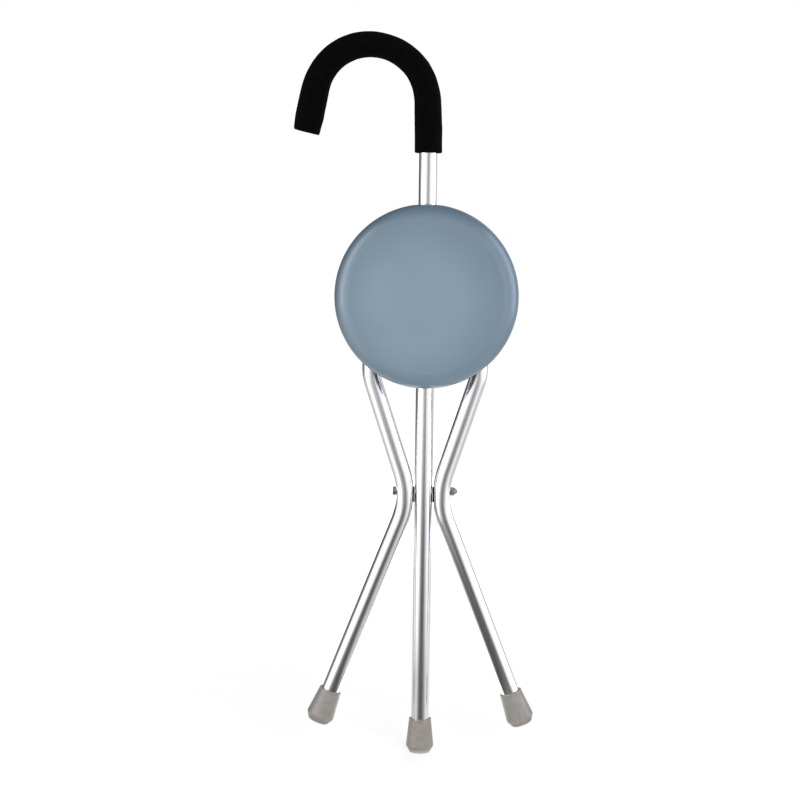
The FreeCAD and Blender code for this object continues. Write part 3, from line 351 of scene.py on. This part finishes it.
# %% Give every CAD node its finish
finishes = {
    "tube_aluminium": aluminium(),
    "seat_plastic": seat_plastic(),
    "ferrule_rubber": ferrule_rubber(),
    "black_plastic": grained_plastic("black_nylon", linear(20, 20, 21), linear(27, 27, 28),
                                     0.5, 1500, 0.4),
    "buffer_rubber": grained_plastic("buffer_black", linear(22, 22, 22), linear(32, 31, 31),
                                     0.72, 900, 0.3),
    "nylon": grained_plastic("natural_nylon", linear(214, 211, 202), linear(224, 221, 213),
                             0.45, 1200, 0.5),
    "zinc_steel": zinc_steel(),
    "bracket_steel": powder_coat(),
}
slot_of = {row["node"]: row["material_slot"] for row in frame["record"]["subparts"]}
for name, shape in nodes.items():
    finish = finishes.get(slot_of[name])
    if finish:
        for place in shape.material_slots:
            place.material = finish
print("finishes", sorted(finishes))


# %% [markdown]
# New pieces are modelled with Blender's own operators, as by hand: a primitive is added at its
# size, shaped in edit mode, and finished with modifiers. An operator acts on everything that is
# selected, so a piece starts with nothing selected and ends with its place in its mesh.

# %% Helpers for modelling
smooth_below = math.radians(35)


def begin(name):
    """Name the primitive that was just added and go into edit mode with all of it selected."""
    piece = bpy.context.object
    piece.name = name
    piece.data.name = name
    bpy.ops.object.mode_set(mode="EDIT")
    bpy.ops.mesh.select_all(action="SELECT")
    return piece


def only(piece):
    """Make a piece the only selected object."""
    if bpy.context.object and bpy.context.object.mode != "OBJECT":
        bpy.ops.object.mode_set(mode="OBJECT")
    bpy.ops.object.select_all(action="DESELECT")
    piece.select_set(True)
    bpy.context.view_layer.objects.active = piece


def apply_modifier(piece, kind, **settings):
    """Add a modifier, set it up and apply it."""
    only(piece)
    modifier = piece.modifiers.new(kind.lower(), kind)
    for setting, value in settings.items():
        setattr(modifier, setting, value)
    bpy.ops.object.modifier_apply(modifier=modifier.name)


def settle(piece, finish, body):
    """Apply the piece's place, give it its finish, and let it ride on its body."""
    only(piece)
    bpy.ops.object.transform_apply(location=True, rotation=True, scale=True)
    bpy.ops.object.shade_smooth_by_angle(angle=smooth_below)
    piece.data.materials.clear()
    piece.data.materials.append(finish)
    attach(piece, body)
    print(piece.name, len(piece.data.vertices), "points")


# %% [markdown]
# The grip is a sleeve of black closed-cell foam, pulled over the bent tube. Its lower end is cut
# square, and at the crook's end it narrows and leans out a little, where the foam was pushed on.
#
# It could be a curve with a round bevel, but then the ends would be bare rings. Drawing one ring
# and extruding it up the stick, spinning it round the crook and extruding it down again gives the
# same tube with a mesh that can be shaped, and a Solidify modifier gives it its wall.

# %% Draw the grip's skin
grip_radius = 0.0165
tube_radius = 0.011
grip_play = 0.0001
grip_base = 0.741
crook_centre = Vector((-0.0703, 0, 0.8003))
crook_radius = -crook_centre.x
crook_turn = math.radians(169)
end_length = 0.0502
straight_rings = 10
spin_rings = 44
end_rings = 9
ring_points = 48

bpy.ops.object.select_all(action="DESELECT")
bpy.ops.mesh.primitive_circle_add(vertices=ring_points, radius=grip_radius, location=(0, 0, 0))
grip = begin("grip_sleeve")
bpy.ops.transform.translate(value=(0, 0, grip_base))
rise = (crook_centre.z - grip_base) / straight_rings
for ring in range(straight_rings):
    bpy.ops.mesh.extrude_region_move(TRANSFORM_OT_translate={"value": (0, 0, rise)})
bpy.ops.mesh.spin(steps=spin_rings, angle=crook_turn, center=crook_centre, axis=(0, 1, 0))
down = Vector((-math.sin(crook_turn), 0, math.cos(crook_turn)))
step = down * (end_length / end_rings)
for ring in range(end_rings):
    bpy.ops.mesh.extrude_region_move(TRANSFORM_OT_translate={"value": step})
bpy.ops.mesh.select_all(action="SELECT")
bpy.ops.mesh.normals_make_consistent(inside=False)
bpy.ops.object.mode_set(mode="OBJECT")
skin_points = len(grip.data.vertices)
apply_modifier(grip, "SOLIDIFY", thickness=grip_radius - tube_radius - grip_play, offset=-1.0)
print("grip skin", skin_points, "points, with its wall", len(grip.data.vertices))

# %% [markdown]
# Foam never keeps the shape of the tube exactly. Where the stick starts to bend the skin lies
# closer to the inside of the bend, round the crook it is stretched thin, and before the end it is
# pushed up a little and bulges.
#
# The bulges could be sculpted, but a short table of how far along, how much inwards and how much
# wider says the same and can be read and changed. Only the outer rings are moved: the inside
# still lies on the tube.

# %% Shape the skin, ring by ring
bulges = [(0, 0, 1.02), (25, 0.1, 1.02), (42, 0.8, 1.015), (59, 1.35, 0.99), (72, 1.6, 0.985),
          (84, 1.45, 0.967), (96, 1.2, 0.965), (120, 0.9, 0.952), (133, 0.95, 0.945),
          (150, 0.7, 0.930), (158, 0.6, 0.934), (170, 0.25, 0.946), (182, 0.1, 0.960),
          (194, -0.2, 0.974), (219, 0, 0.974), (231, 0.25, 0.986), (243, 0.5, 0.993),
          (255, 1.0, 1.01), (267, 1.0, 1.035), (285, 0.9, 1.055), (300, 0.8, 1.05),
          (320, 0.9, 0.965)]
lean_most = -3.2
lean_length = 24


def ring_place(number):
    """Where a ring stands: its middle, the way to the inside of the bend, and mm from the base."""
    spun = number - straight_rings
    turned = crook_turn * min(max(spun / spin_rings, 0), 1)
    outward = Vector((math.cos(turned), 0, math.sin(turned)))
    middle = crook_centre + outward * crook_radius
    middle = middle + Vector((0, 0, rise)) * min(spun, 0) + step * max(spun - spin_rings, 0)
    along = rise * min(number, straight_rings) + crook_radius * turned
    return middle, -outward, (along + step.length * max(spun - spin_rings, 0)) * 1000


def between(table, place):
    """The values of a table at a place between two of its rows."""
    for low, high in zip(table, table[1:]):
        if place <= high[0]:
            share = (place - low[0]) / (high[0] - low[0])
            return [a + (b - a) * share for a, b in zip(low[1:], high[1:])]
    return table[-1][1:]


def select_ring(piece, number):
    """Select one ring of the skin, counted from the grip's base."""
    bpy.ops.mesh.select_all(action="DESELECT")
    bpy.ops.object.mode_set(mode="OBJECT")
    for point in piece.data.vertices[number * ring_points:(number + 1) * ring_points]:
        point.select = True
    bpy.ops.object.mode_set(mode="EDIT")


rings = skin_points // ring_points
whole = ring_place(rings - 1)[2]
only(grip)
bpy.ops.object.mode_set(mode="EDIT")
bpy.ops.mesh.select_mode(type="VERT")
for ring in range(rings):
    middle, inward, along = ring_place(ring)
    shift, swell = between(bulges, along)
    lean = lean_most * max(0, 1 - (whole - along) / lean_length)
    select_ring(grip, ring)
    bpy.ops.transform.resize(value=(swell,) * 3, center_override=middle)
    bpy.ops.transform.rotate(value=math.radians(lean), orient_axis="Y", center_override=middle)
    bpy.ops.transform.translate(value=inward * shift / 1000)
bpy.ops.object.mode_set(mode="OBJECT")
ends = [point.co * 1000 for point in grip.data.vertices[skin_points - ring_points:skin_points]]
outer = min(ends, key=lambda place: place.x)
inner = max(ends, key=lambda place: place.x)
print("crook end, mm", [round(v, 1) for v in (outer.x, outer.z, inner.x, inner.z)])

# %% [markdown]
# The cut edges are rounded a little by a Bevel, and a slow noise makes the skin as soft and
# uneven as foam is.

# %% Soften the foam
foam_edge = 0.0016
cut_edge_above = math.radians(50)
dent_size = 0.014
dent_depth = 0.0007

skin = grip.vertex_groups.new(name="skin")
skin.add(list(range(skin_points)), 1.0, "REPLACE")
apply_modifier(grip, "BEVEL", width=foam_edge, segments=3, limit_method="ANGLE",
               angle_limit=cut_edge_above)
apply_modifier(grip, "SUBSURF", levels=1, render_levels=1)
softness = bpy.data.textures.new("foam_softness", "CLOUDS")
softness.noise_scale = dent_size
apply_modifier(grip, "DISPLACE", texture=softness, texture_coords="LOCAL", strength=dent_depth,
               mid_level=0.5, vertex_group="skin")
print("softened grip", len(grip.data.vertices), "points")


# %% [markdown]
# Foam is matt and almost black: its cut cells trap the light. Close up it shows tiny pits, and
# from far away only a very faint sheen along its outline.
#
# The cells are a Voronoi pattern of about half a millimetre used as bump, over a fine noise in
# the colour. The base colour is far darker than it seems it should be, since every bit of gloss
# already lifts it.

# %% Foam
def foam():
    """Black foam: matt, and pitted by its cut cells."""
    made, tree, shader = start_material("grip_foam_black")
    coords = real_coordinates(tree)
    pores = add_node(tree, "TexVoronoi", {"Scale": 1700.0}, {"Vector": coords})
    fine = noise(tree, coords, 900, 4)
    colour = ramp(tree, fine, [(0.3, linear(2, 2, 2)), (0.7, linear(7, 7, 8))])
    tree.links.new(colour, shader.inputs["Base Color"])
    rough = ramp(tree, noise(tree, coords, 150, 2), [(0.3, 0.82), (0.7, 0.95)])
    tree.links.new(rough, shader.inputs["Roughness"])
    shader.inputs["Specular IOR Level"].default_value = 0.06
    pitted = bump(tree, pores.outputs["Distance"], 0.5, 0.0003)
    tree.links.new(bump(tree, fine, 0.3, 0.0003, pitted), shader.inputs["Normal"])
    return made


settle(grip, foam(), "pole")
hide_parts("foam_grip")


# %% [markdown]
# Every bolt here is a common hexagon bolt: six flats, a cone turned over the corners, and a
# rolled thread. A nut is the same with a thread inside and a round collar that holds a nylon ring.
#
# A six-sided cylinder alone has sharp corners that no real bolt has. Cutting it with a wide blunt
# cone, by a Boolean intersection, leaves the curved chamfer on each corner, as turning does.

# %% A hexagon with turned corners
corner_ratio = 2 / math.sqrt(3)
chamfer_slope = math.tan(math.radians(60))
chamfer_share = 0.475


def add_cone(low_radius, high_radius, low, high, points=48):
    """A cone about the Z axis between two heights, as a new object."""
    bpy.ops.object.select_all(action="DESELECT")
    bpy.ops.mesh.primitive_cone_add(vertices=points, radius1=low_radius, radius2=high_radius,
                                    depth=high - low, location=(0, 0, (low + high) / 2))
    return bpy.context.object


def combine(piece, other, operation):
    """Join, cut or intersect a piece with another, which is used up."""
    apply_modifier(piece, "BOOLEAN", object=other, operation=operation, solver="EXACT")
    bpy.data.objects.remove(other)
    return piece


def hexagon(across, low, high, both=False):
    """A hexagonal prism whose corners are turned off at the top, or at both ends."""
    half = across / 2
    piece = add_cone(half * corner_ratio, half * corner_ratio, low, high, points=6)
    bpy.ops.object.transform_apply(location=True, rotation=True, scale=True)
    tall = high - low
    top = across * chamfer_share
    combine(piece, add_cone(top + tall * chamfer_slope, top, low, high), "INTERSECT")
    if both:
        combine(piece, add_cone(top, top + tall * chamfer_slope, low, high), "INTERSECT")
    return piece


# %% [markdown]
# A thread is one small V that climbs round the bolt. The Screw modifier does exactly that: a
# profile as tall as the pitch is turned and lifted by one pitch each turn, so its end meets its
# start a turn later. Its wavy ends are cut off flat by a cone, which also chamfers the tip.

# %% A rolled thread
thread_depth = 0.6134
thread_steps = 24
tip_chamfer = 0.0006
weld_distance = 0.00001


def thread(diameter, pitch, low, high):
    """A rod of thread about the Z axis, with its chamfered tip at the low end."""
    bpy.ops.object.select_all(action="DESELECT")
    bpy.ops.mesh.primitive_circle_add(vertices=3, radius=pitch / math.sqrt(3),
                                      rotation=(math.radians(90), math.radians(90), 0))
    bpy.ops.object.transform_apply(location=True, rotation=True, scale=True)
    rod = begin("thread")
    apex = thread_depth * pitch * 2 / 3
    bpy.ops.transform.resize(value=(thread_depth * 2 / math.sqrt(3), 1, 1),
                             center_override=(0, 0, 0))
    bpy.ops.transform.translate(value=(diameter / 2 - apex, 0, low - pitch / 2))
    bpy.ops.mesh.select_all(action="DESELECT")
    bpy.ops.object.mode_set(mode="OBJECT")
    crest = max(v.co.x for v in rod.data.vertices) - weld_distance
    for edge in rod.data.edges:
        edge.select = all(rod.data.vertices[i].co.x < crest for i in edge.vertices)
    bpy.ops.object.mode_set(mode="EDIT")
    bpy.ops.mesh.select_mode(type="EDGE")
    bpy.ops.mesh.delete(type="EDGE")
    bpy.ops.object.mode_set(mode="OBJECT")
    turns = round((high - low) / pitch) + 1
    apply_modifier(rod, "SCREW", axis="Z", angle=math.tau, screw_offset=pitch, iterations=turns,
                   steps=thread_steps, render_steps=thread_steps)
    bpy.ops.object.mode_set(mode="EDIT")
    bpy.ops.mesh.select_mode(type="VERT")
    bpy.ops.mesh.select_all(action="SELECT")
    bpy.ops.mesh.remove_doubles(threshold=weld_distance)
    bpy.ops.mesh.select_all(action="DESELECT")
    bpy.ops.mesh.select_non_manifold()
    bpy.ops.mesh.fill_holes(sides=0)
    bpy.ops.mesh.select_all(action="SELECT")
    bpy.ops.mesh.normals_make_consistent(inside=False)
    bpy.ops.object.mode_set(mode="OBJECT")
    root = diameter / 2 - tip_chamfer
    tall = high - low
    combine(rod, add_cone(root, root + tall, low, high), "INTERSECT")
    return rod


# %% [markdown]
# A bolt has to stand exactly where the CAD has it, because the holes are there. Its place could
# be typed in, but the box of its CAD node already says where it starts and ends, so it is modelled
# upright at the origin and then laid into that box.

# %% Where the fasteners stand
def span_of(node, axis):
    """The middle of a node's box, with its lowest and highest place on one axis."""
    low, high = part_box(node)
    return (low + high) / 2, low[axis], high[axis]


def lay(piece, axis, centre, start, direction):
    """Turn a piece that was made along +Z to lie along an axis, its base at a start place."""
    target = Vector((0, 0, 0))
    target[axis] = direction
    turn = Vector((0, 0, 1)).rotation_difference(target).to_matrix().to_4x4()
    place = centre.copy()
    place[axis] = start
    piece.matrix_world = Matrix.Translation(place) @ turn @ piece.matrix_world


# %% Bolts in two sizes
steel = finishes["zinc_steel"]
nylon = finishes["nylon"]
m6 = {"diameter": 0.006, "pitch": 0.001, "flats": 0.010, "head": 0.004, "nut": 0.006,
      "bore": 0.00302}
m5 = {"diameter": 0.005, "pitch": 0.0008, "flats": 0.008, "head": 0.0035, "nut": 0.005,
      "bore": 0.00252}
washer_face = 0.0003
overlap = 0.0001
longest_thread = 0.016


def bolt(name, node, size, head_first, axis, body):
    """A hexagon bolt in the place of a CAD node. Head_first: its head is at the low end."""
    centre, low, high = span_of(node, axis)
    head = size["head"]
    length = high - low - head
    piece = hexagon(size["flats"], washer_face, head)
    face_radius = size["flats"] * chamfer_share
    combine(piece, add_cone(face_radius, face_radius, 0, washer_face + overlap), "UNION")
    threaded = min(length / 2, longest_thread)
    stem_radius = size["diameter"] / 2
    stem = add_cone(stem_radius, stem_radius, threaded - length, overlap * 2)
    combine(piece, stem, "UNION")
    rod = thread(size["diameter"], size["pitch"], -length, threaded - length + overlap * 4)
    combine(piece, rod, "UNION")
    piece.name = name
    piece.data.name = name
    lay(piece, axis, centre, (low + head) if head_first else (high - head),
        -1 if head_first else 1)
    settle(piece, steel, body)
    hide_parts(node)


# %% The bolts
x_axis, y_axis = 0, 1
bolt("pivot_bolt_m6", "pivot_bolt", m6, True, x_axis, "side_legs")
bolt("left_hinge_bolt_m6", "left_hinge_bolt", m6, True, x_axis, "seat")
bolt("right_hinge_bolt_m6", "right_hinge_bolt", m6, False, x_axis, "seat")
bolt("stop_bolt_m5", "stop_bolt", m5, True, y_axis, "pole")


# %% [markdown]
# A lock nut is a hexagon turned at both ends, with a thin round collar above it. The collar is
# crimped over a nylon ring, which grips the thread, and the bolt's tip stands a turn or two out.
#
# The bore is cut right through by a Boolean difference. The ring is its own small piece, because
# it is another material.

# %% The nuts
flats_share = 0.7
collar_foot = 0.45
collar_share = 0.43
collar_mouth = 0.88
collar_sink = 0.0004
collar_lip = 0.0003
bore_beyond = 0.001
room_share = 1.16
room_below_lip = 0.0007
ring_outside = 1.15
ring_inside = 1.01


def nut(name, node, size, outwards, axis, body):
    """A lock nut in the place of a CAD node. Outwards is 1 or -1, where its collar points."""
    centre, low, high = span_of(node, axis)
    height, bore = size["nut"], size["bore"]
    flats = height * flats_share
    collar = size["flats"] * collar_share
    piece = hexagon(size["flats"], 0, flats, both=True)
    combine(piece, add_cone(size["flats"] * collar_foot, collar, flats - collar_sink,
                            height - collar_lip), "UNION")
    combine(piece, add_cone(collar, collar * collar_mouth, height - collar_sink, height), "UNION")
    combine(piece, add_cone(bore, bore, -bore_beyond, height + bore_beyond), "DIFFERENCE")
    room = bore * room_share
    combine(piece, add_cone(room, room, flats + collar_sink, height - room_below_lip),
            "DIFFERENCE")
    outside = bore * ring_outside
    ring = add_cone(outside, outside, flats + collar_sink + overlap,
                    height - room_below_lip - overlap)
    bpy.ops.object.transform_apply(location=True, rotation=True, scale=True)
    combine(ring, add_cone(bore * ring_inside, bore * ring_inside, flats, height), "DIFFERENCE")
    start = low if outwards > 0 else high
    for part, part_name, finish, slot in ((piece, name, steel, "zinc_steel"),
                                          (ring, name + "_ring", nylon, "nylon")):
        part.name = part_name
        part.data.name = part_name
        lay(part, axis, centre, start, outwards)
        settle(part, finish, body)
    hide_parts(node)


nut("pivot_nut_m6", "pivot_nut", m6, 1, x_axis, "side_legs")
nut("left_hinge_nut_m6", "left_hinge_nut", m6, 1, x_axis, "seat")
nut("right_hinge_nut_m6", "right_hinge_nut", m6, -1, x_axis, "seat")
nut("stop_nut_m5", "stop_nut", m5, 1, y_axis, "pole")


# %% [markdown]
# Four screws hold the bracket to the bosses of the seat. They are pan heads with a cross recess.
#
# A cone whose edge is rounded by a Bevel makes the head, and two more the shank and its point.
# The recess is two tapered slots, cut by a Boolean difference. One screw is modelled, and four
# copies are made of it, each with its own mesh.

# %% The seat's screws
screw_radius = 0.002
screw_head_radius = 0.0045
screw_head_top = 0.62
screw_head_rise = 0.0021
screw_head_edge = 0.0009
screw_length = 0.0145
screw_point = 0.0015
screw_point_radius = 0.0003
screw_taper = 0.9
slot_width = 0.0009
slot_length = 0.0046
slot_depth = 0.0015
slot_taper = 0.35


def cross_slot(along_x):
    """A tapered bar that cuts one arm of the cross recess, from below."""
    bpy.ops.object.select_all(action="DESELECT")
    bpy.ops.mesh.primitive_cube_add(size=1, location=(0, 0, 0))
    bar = begin("slot_cutter")
    bpy.ops.transform.resize(value=(slot_length if along_x else slot_width,
                                    slot_width if along_x else slot_length, slot_depth * 2))
    bpy.ops.mesh.select_all(action="DESELECT")
    bpy.ops.object.mode_set(mode="OBJECT")
    for face in bar.data.polygons:
        face.select = face.normal.z > 0.9
    bpy.ops.object.mode_set(mode="EDIT")
    bpy.ops.mesh.select_mode(type="FACE")
    bpy.ops.transform.resize(value=(slot_taper, slot_taper, 1), center_override=(0, 0, 0))
    bpy.ops.object.mode_set(mode="OBJECT")
    return bar


def pan_head_screw():
    """A screw with its head below z = 0, pointing up the Z axis."""
    piece = add_cone(screw_head_radius * screw_head_top, screw_head_radius, -screw_head_rise, 0)
    bpy.ops.object.transform_apply(location=True, rotation=True, scale=True)
    apply_modifier(piece, "BEVEL", width=screw_head_edge, segments=4, limit_method="ANGLE",
                   angle_limit=math.radians(40))
    end_radius = screw_radius * screw_taper
    point_start = screw_length - screw_point
    combine(piece, add_cone(screw_radius, end_radius, -overlap * 2, point_start), "UNION")
    combine(piece, add_cone(end_radius, screw_point_radius, point_start - overlap, screw_length),
            "UNION")
    for along_x in (True, False):
        cutter = cross_slot(along_x)
        cutter.location.z = -screw_head_rise
        combine(piece, cutter, "DIFFERENCE")
    return piece


# %% Model one screw and place four
def place_screw(first, name, x, z):
    """A copy of the first screw, with its own mesh, at its place in the bracket."""
    only(first)
    bpy.ops.object.duplicate()
    piece = bpy.context.object
    piece.name = name
    piece.data.name = name
    lay(piece, y_axis, Vector((x, 0, z)), screw_seat, -1)
    settle(piece, steel, "seat")
    return piece


cad_head_height = 0.0026
screw_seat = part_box("seat_screws")[1].y - cad_head_height
lower_x, upper_x = 0.036, 0.011
lower_z, upper_z = 0.502, 0.616
first_screw = pan_head_screw()
screws = [place_screw(first_screw, "seat_screw_%d" % number, x, z)
          for number, (x, z) in enumerate([(-lower_x, lower_z), (lower_x, lower_z),
                                           (-upper_x, upper_z), (upper_x, upper_z)], start=1)]
bpy.data.objects.remove(first_screw)
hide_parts("seat_screws")
for screw in screws[1:]:
    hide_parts("seat_screws")


# %% [markdown]
# The room. What shows on the tubes is the room's mirror image: two bright soft boxes left and
# right, and between them a dull gap where the camera stands, which is the grey band along the
# middle of every tube. Low down, the floor near the stick is dull too, so the lower ends of the
# tubes are darker.
#
# Boxes and screens could be built around the object, but they would stand in the way of other
# views. Instead the world is painted by direction, and only for rays that bounce off gloss. The
# camera sees plain white, and matt surfaces are lit by an even grey that is weaker from above.

# %% Directions, as an angle from the front
def compass(tree, turn, stops):
    """A ramp over the direction, in degrees from the front, positive to the right."""
    return ramp(tree, turn, [((degrees + 180) / 360, level) for degrees, level in stops])


def turn_of(tree, vector):
    """The angle of a direction or place from the front, as 0 to 1, and its separate parts."""
    parts = add_node(tree, "SeparateXYZ", links={"Vector": vector}).outputs
    forward = add_node(tree, "Math", {1: -1.0}, {0: parts["Y"]})
    forward.operation = "MULTIPLY"
    angle = add_node(tree, "Math", links={0: parts["X"], 1: forward.outputs[0]})
    angle.operation = "ARCTAN2"
    return fade(tree, angle.outputs[0], -math.pi, math.pi), parts


def blend_over(tree, value, start, end, first, second):
    """Two colours: the first where a value is below start, the second where it is above end."""
    return mix_colour(tree, fade(tree, value, start, end, smooth=True), first, second)


# %% The studio's walls, as gloss mirrors them
brown = (0.05, 0.035, 0.03, 1.0)
light_brown = (0.28, 0.245, 0.225, 1.0)
left_box = 3.8
right_box = (3.2, 3.5, 4.5, 1.0)
wall_stops = [(-180, 0.30), (-174, brown), (-132, brown), (-114, light_brown), (-97, 0.58),
              (-86, 0.95), (-72, left_box), (-54, left_box), (-40, 1.2), (-25, 1.12), (-10, 0.68),
              (5, 0.34), (18, 0.56), (30, 1.0), (40, 1.1), (62, 1.4), (76, right_box),
              (98, right_box), (110, 0.85), (128, 0.62), (150, 0.60), (180, 0.30)]
ceiling = (0.15, 0.18, 0.22, 1.0)
wall_top, ceiling_edge = 0.55, 0.85

world = bpy.data.worlds.new("studio")
bpy.context.scene.world = world
world.use_nodes = True
sky = world.node_tree
turn, parts = turn_of(sky, add_node(sky, "TexCoord").outputs["Generated"])
room = blend_over(sky, parts["Z"], wall_top, ceiling_edge, compass(sky, turn, wall_stops),
                  ceiling)
print("walls in", len(wall_stops), "steps")

# %% Who sees what
from_below = (0.66, 0.66, 0.66, 1.0)
from_above = (0.33, 0.33, 0.34, 1.0)
lowest, highest = -0.5, 0.6
white = (1.0, 1.0, 1.0, 1.0)
path = add_node(sky, "LightPath")
seen = blend_over(sky, parts["Z"], lowest, highest, from_below, from_above)
seen = mix_colour(sky, path.outputs["Is Glossy Ray"], seen, room)
seen = mix_colour(sky, path.outputs["Is Transmission Ray"], seen, white)
seen = mix_colour(sky, path.outputs["Is Camera Ray"], seen, white)
sky.links.new(seen, sky.nodes["Background"].inputs["Color"])
print("studio has", len(sky.nodes), "nodes")


# %% [markdown]
# Three large soft lamps shape the matt surfaces: a key light in front on the right, not much
# higher than the seat, a weaker, lower one on the left, and one behind, so that the back isn't in
# the dark. They are kept out of the mirror images, which the world already gives.

# %% Lamps
def lamp(name, place, target, size, power):
    """A square area lamp that faces a point."""
    data = bpy.data.lights.new(name, "AREA")
    data.size = size
    data.energy = power
    made = bpy.data.objects.new(name, data)
    bpy.context.scene.collection.objects.link(made)
    facing = (Vector(target) - Vector(place)).to_track_quat("-Z", "Y")
    made.matrix_world = Matrix.Translation(Vector(place)) @ facing.to_matrix().to_4x4()
    made.visible_glossy = False
    print(name, power, "W")


middle = (0, 0, 0.45)
lamp("key_light", (0.95, -2.3, 0.75), middle, 1.3, 24)
lamp("fill_light", (-1.2, -2.0, 0.35), middle, 1.2, 13)
lamp("back_light", (0.5, 2.4, 0.95), middle, 1.6, 18)


# %% [markdown]
# The floor is plain and as white as the wall behind it, so no edge shows between them. A floor
# that only glowed would show no shadow, so near the stick a little over half of its white is glow
# for the camera, and the rest is ordinary matt white, which the object can shade. Far from the
# lamps it glows more.
#
# Gloss mirrors another floor: dull near the stick, brighter further out and to the sides, and
# brighter the flatter it is looked at, as a smooth floor is. That is painted by the place on the
# floor, in the same angles as the walls, and by a Layer Weight.

# %% The floor, as gloss mirrors it
steep_stops = [(-180, 2.6), (-150, 1.7), (-120, 0.80), (-95, 0.74), (-82, 0.48), (-68, 0.19),
               (-52, 0.085), (-24, 0.085), (0, 0.095), (9, 0.14), (17, 0.25), (27, 0.40),
               (38, 0.54), (50, 0.64), (69, 0.70), (87, 0.72), (120, 0.80), (150, 1.7),
               (180, 2.6)]
flat_stops = [(-180, 0.8), (-150, 0.75), (-125, 0.64), (-102, 0.62), (-80, 0.63), (-66, 0.70),
              (-52, 0.78), (-39, 0.50), (-26, 0.22), (-13, 0.125), (0, 0.105), (13, 0.12),
              (26, 0.165), (39, 0.27), (52, 0.50), (67, 0.76), (84, 0.84), (102, 0.82),
              (125, 0.9), (180, 0.8)]
mid_stops = [(-180, 0.70), (-150, 0.62), (-125, 0.58), (-102, 0.72), (-82, 1.1), (-66, 1.45),
             (-52, 1.3), (-38, 0.78), (-28, 0.46), (-18, 0.24), (-7, 0.12), (5, 0.095),
             (18, 0.15), (30, 0.31), (44, 0.68), (58, 1.05), (72, 1.0), (84, 0.66), (104, 0.62),
             (125, 0.75), (180, 0.70)]
steep_view, flat_view = 0.56, 0.74
near_end, mid_start = 0.42, 0.9
mid_end, wall_start = 1.1, 4.4


def mirrored_floor(tree):
    """The colour of the floor in a mirror image, by its place and by how flatly it is seen."""
    place = add_node(tree, "TexCoord").outputs["Object"]
    turn = turn_of(tree, place)[0]
    away = length_of(tree, place)
    facing = add_node(tree, "LayerWeight", {"Blend": 0.5}).outputs["Facing"]
    near = blend_over(tree, facing, steep_view, flat_view, compass(tree, turn, steep_stops),
                      compass(tree, turn, flat_stops))
    seen = blend_over(tree, away, near_end, mid_start, near, compass(tree, turn, mid_stops))
    return blend_over(tree, away, mid_end, wall_start, seen, compass(tree, turn, wall_stops))


# %% Floor
near_glow = (0.58, 0.58, 0.58, 1.0)
far_glow = (0.78, 0.78, 0.78, 1.0)
glow_start, glow_end = 0.4, 2.4
floor_white = (0.8, 0.8, 0.8, 1.0)
floor_size = 14

bpy.ops.object.select_all(action="DESELECT")
bpy.ops.mesh.primitive_plane_add(size=floor_size, location=(0, 0, 0))
floor = bpy.context.object
floor.name = "floor"
floor.data.name = "floor"
floor_finish, tree, shader = start_material("floor_white")
path = add_node(tree, "LightPath").outputs
shader.inputs["Base Color"].default_value = floor_white
shader.inputs["Roughness"].default_value = 1.0
shader.inputs["Specular IOR Level"].default_value = 0.0
reach = length_of(tree, add_node(tree, "TexCoord").outputs["Object"])
glow = blend_over(tree, reach, glow_start, glow_end, near_glow, far_glow)
tree.links.new(glow, shader.inputs["Emission Color"])
tree.links.new(path["Is Camera Ray"], shader.inputs["Emission Strength"])
mirrored = add_node(tree, "Emission", links={"Color": mirrored_floor(tree)})
either = add_node(tree, "MixShader", links={0: path["Is Glossy Ray"], 1: shader.outputs[0],
                                            2: mirrored.outputs[0]})
tree.links.new(either.outputs[0], tree.nodes["Material Output"].inputs["Surface"])
floor.data.materials.append(floor_finish)
floor.visible_diffuse = False
print("floor", floor_size, "m wide")

# %% Finish
bpy.context.scene.view_settings.view_transform = "Standard"
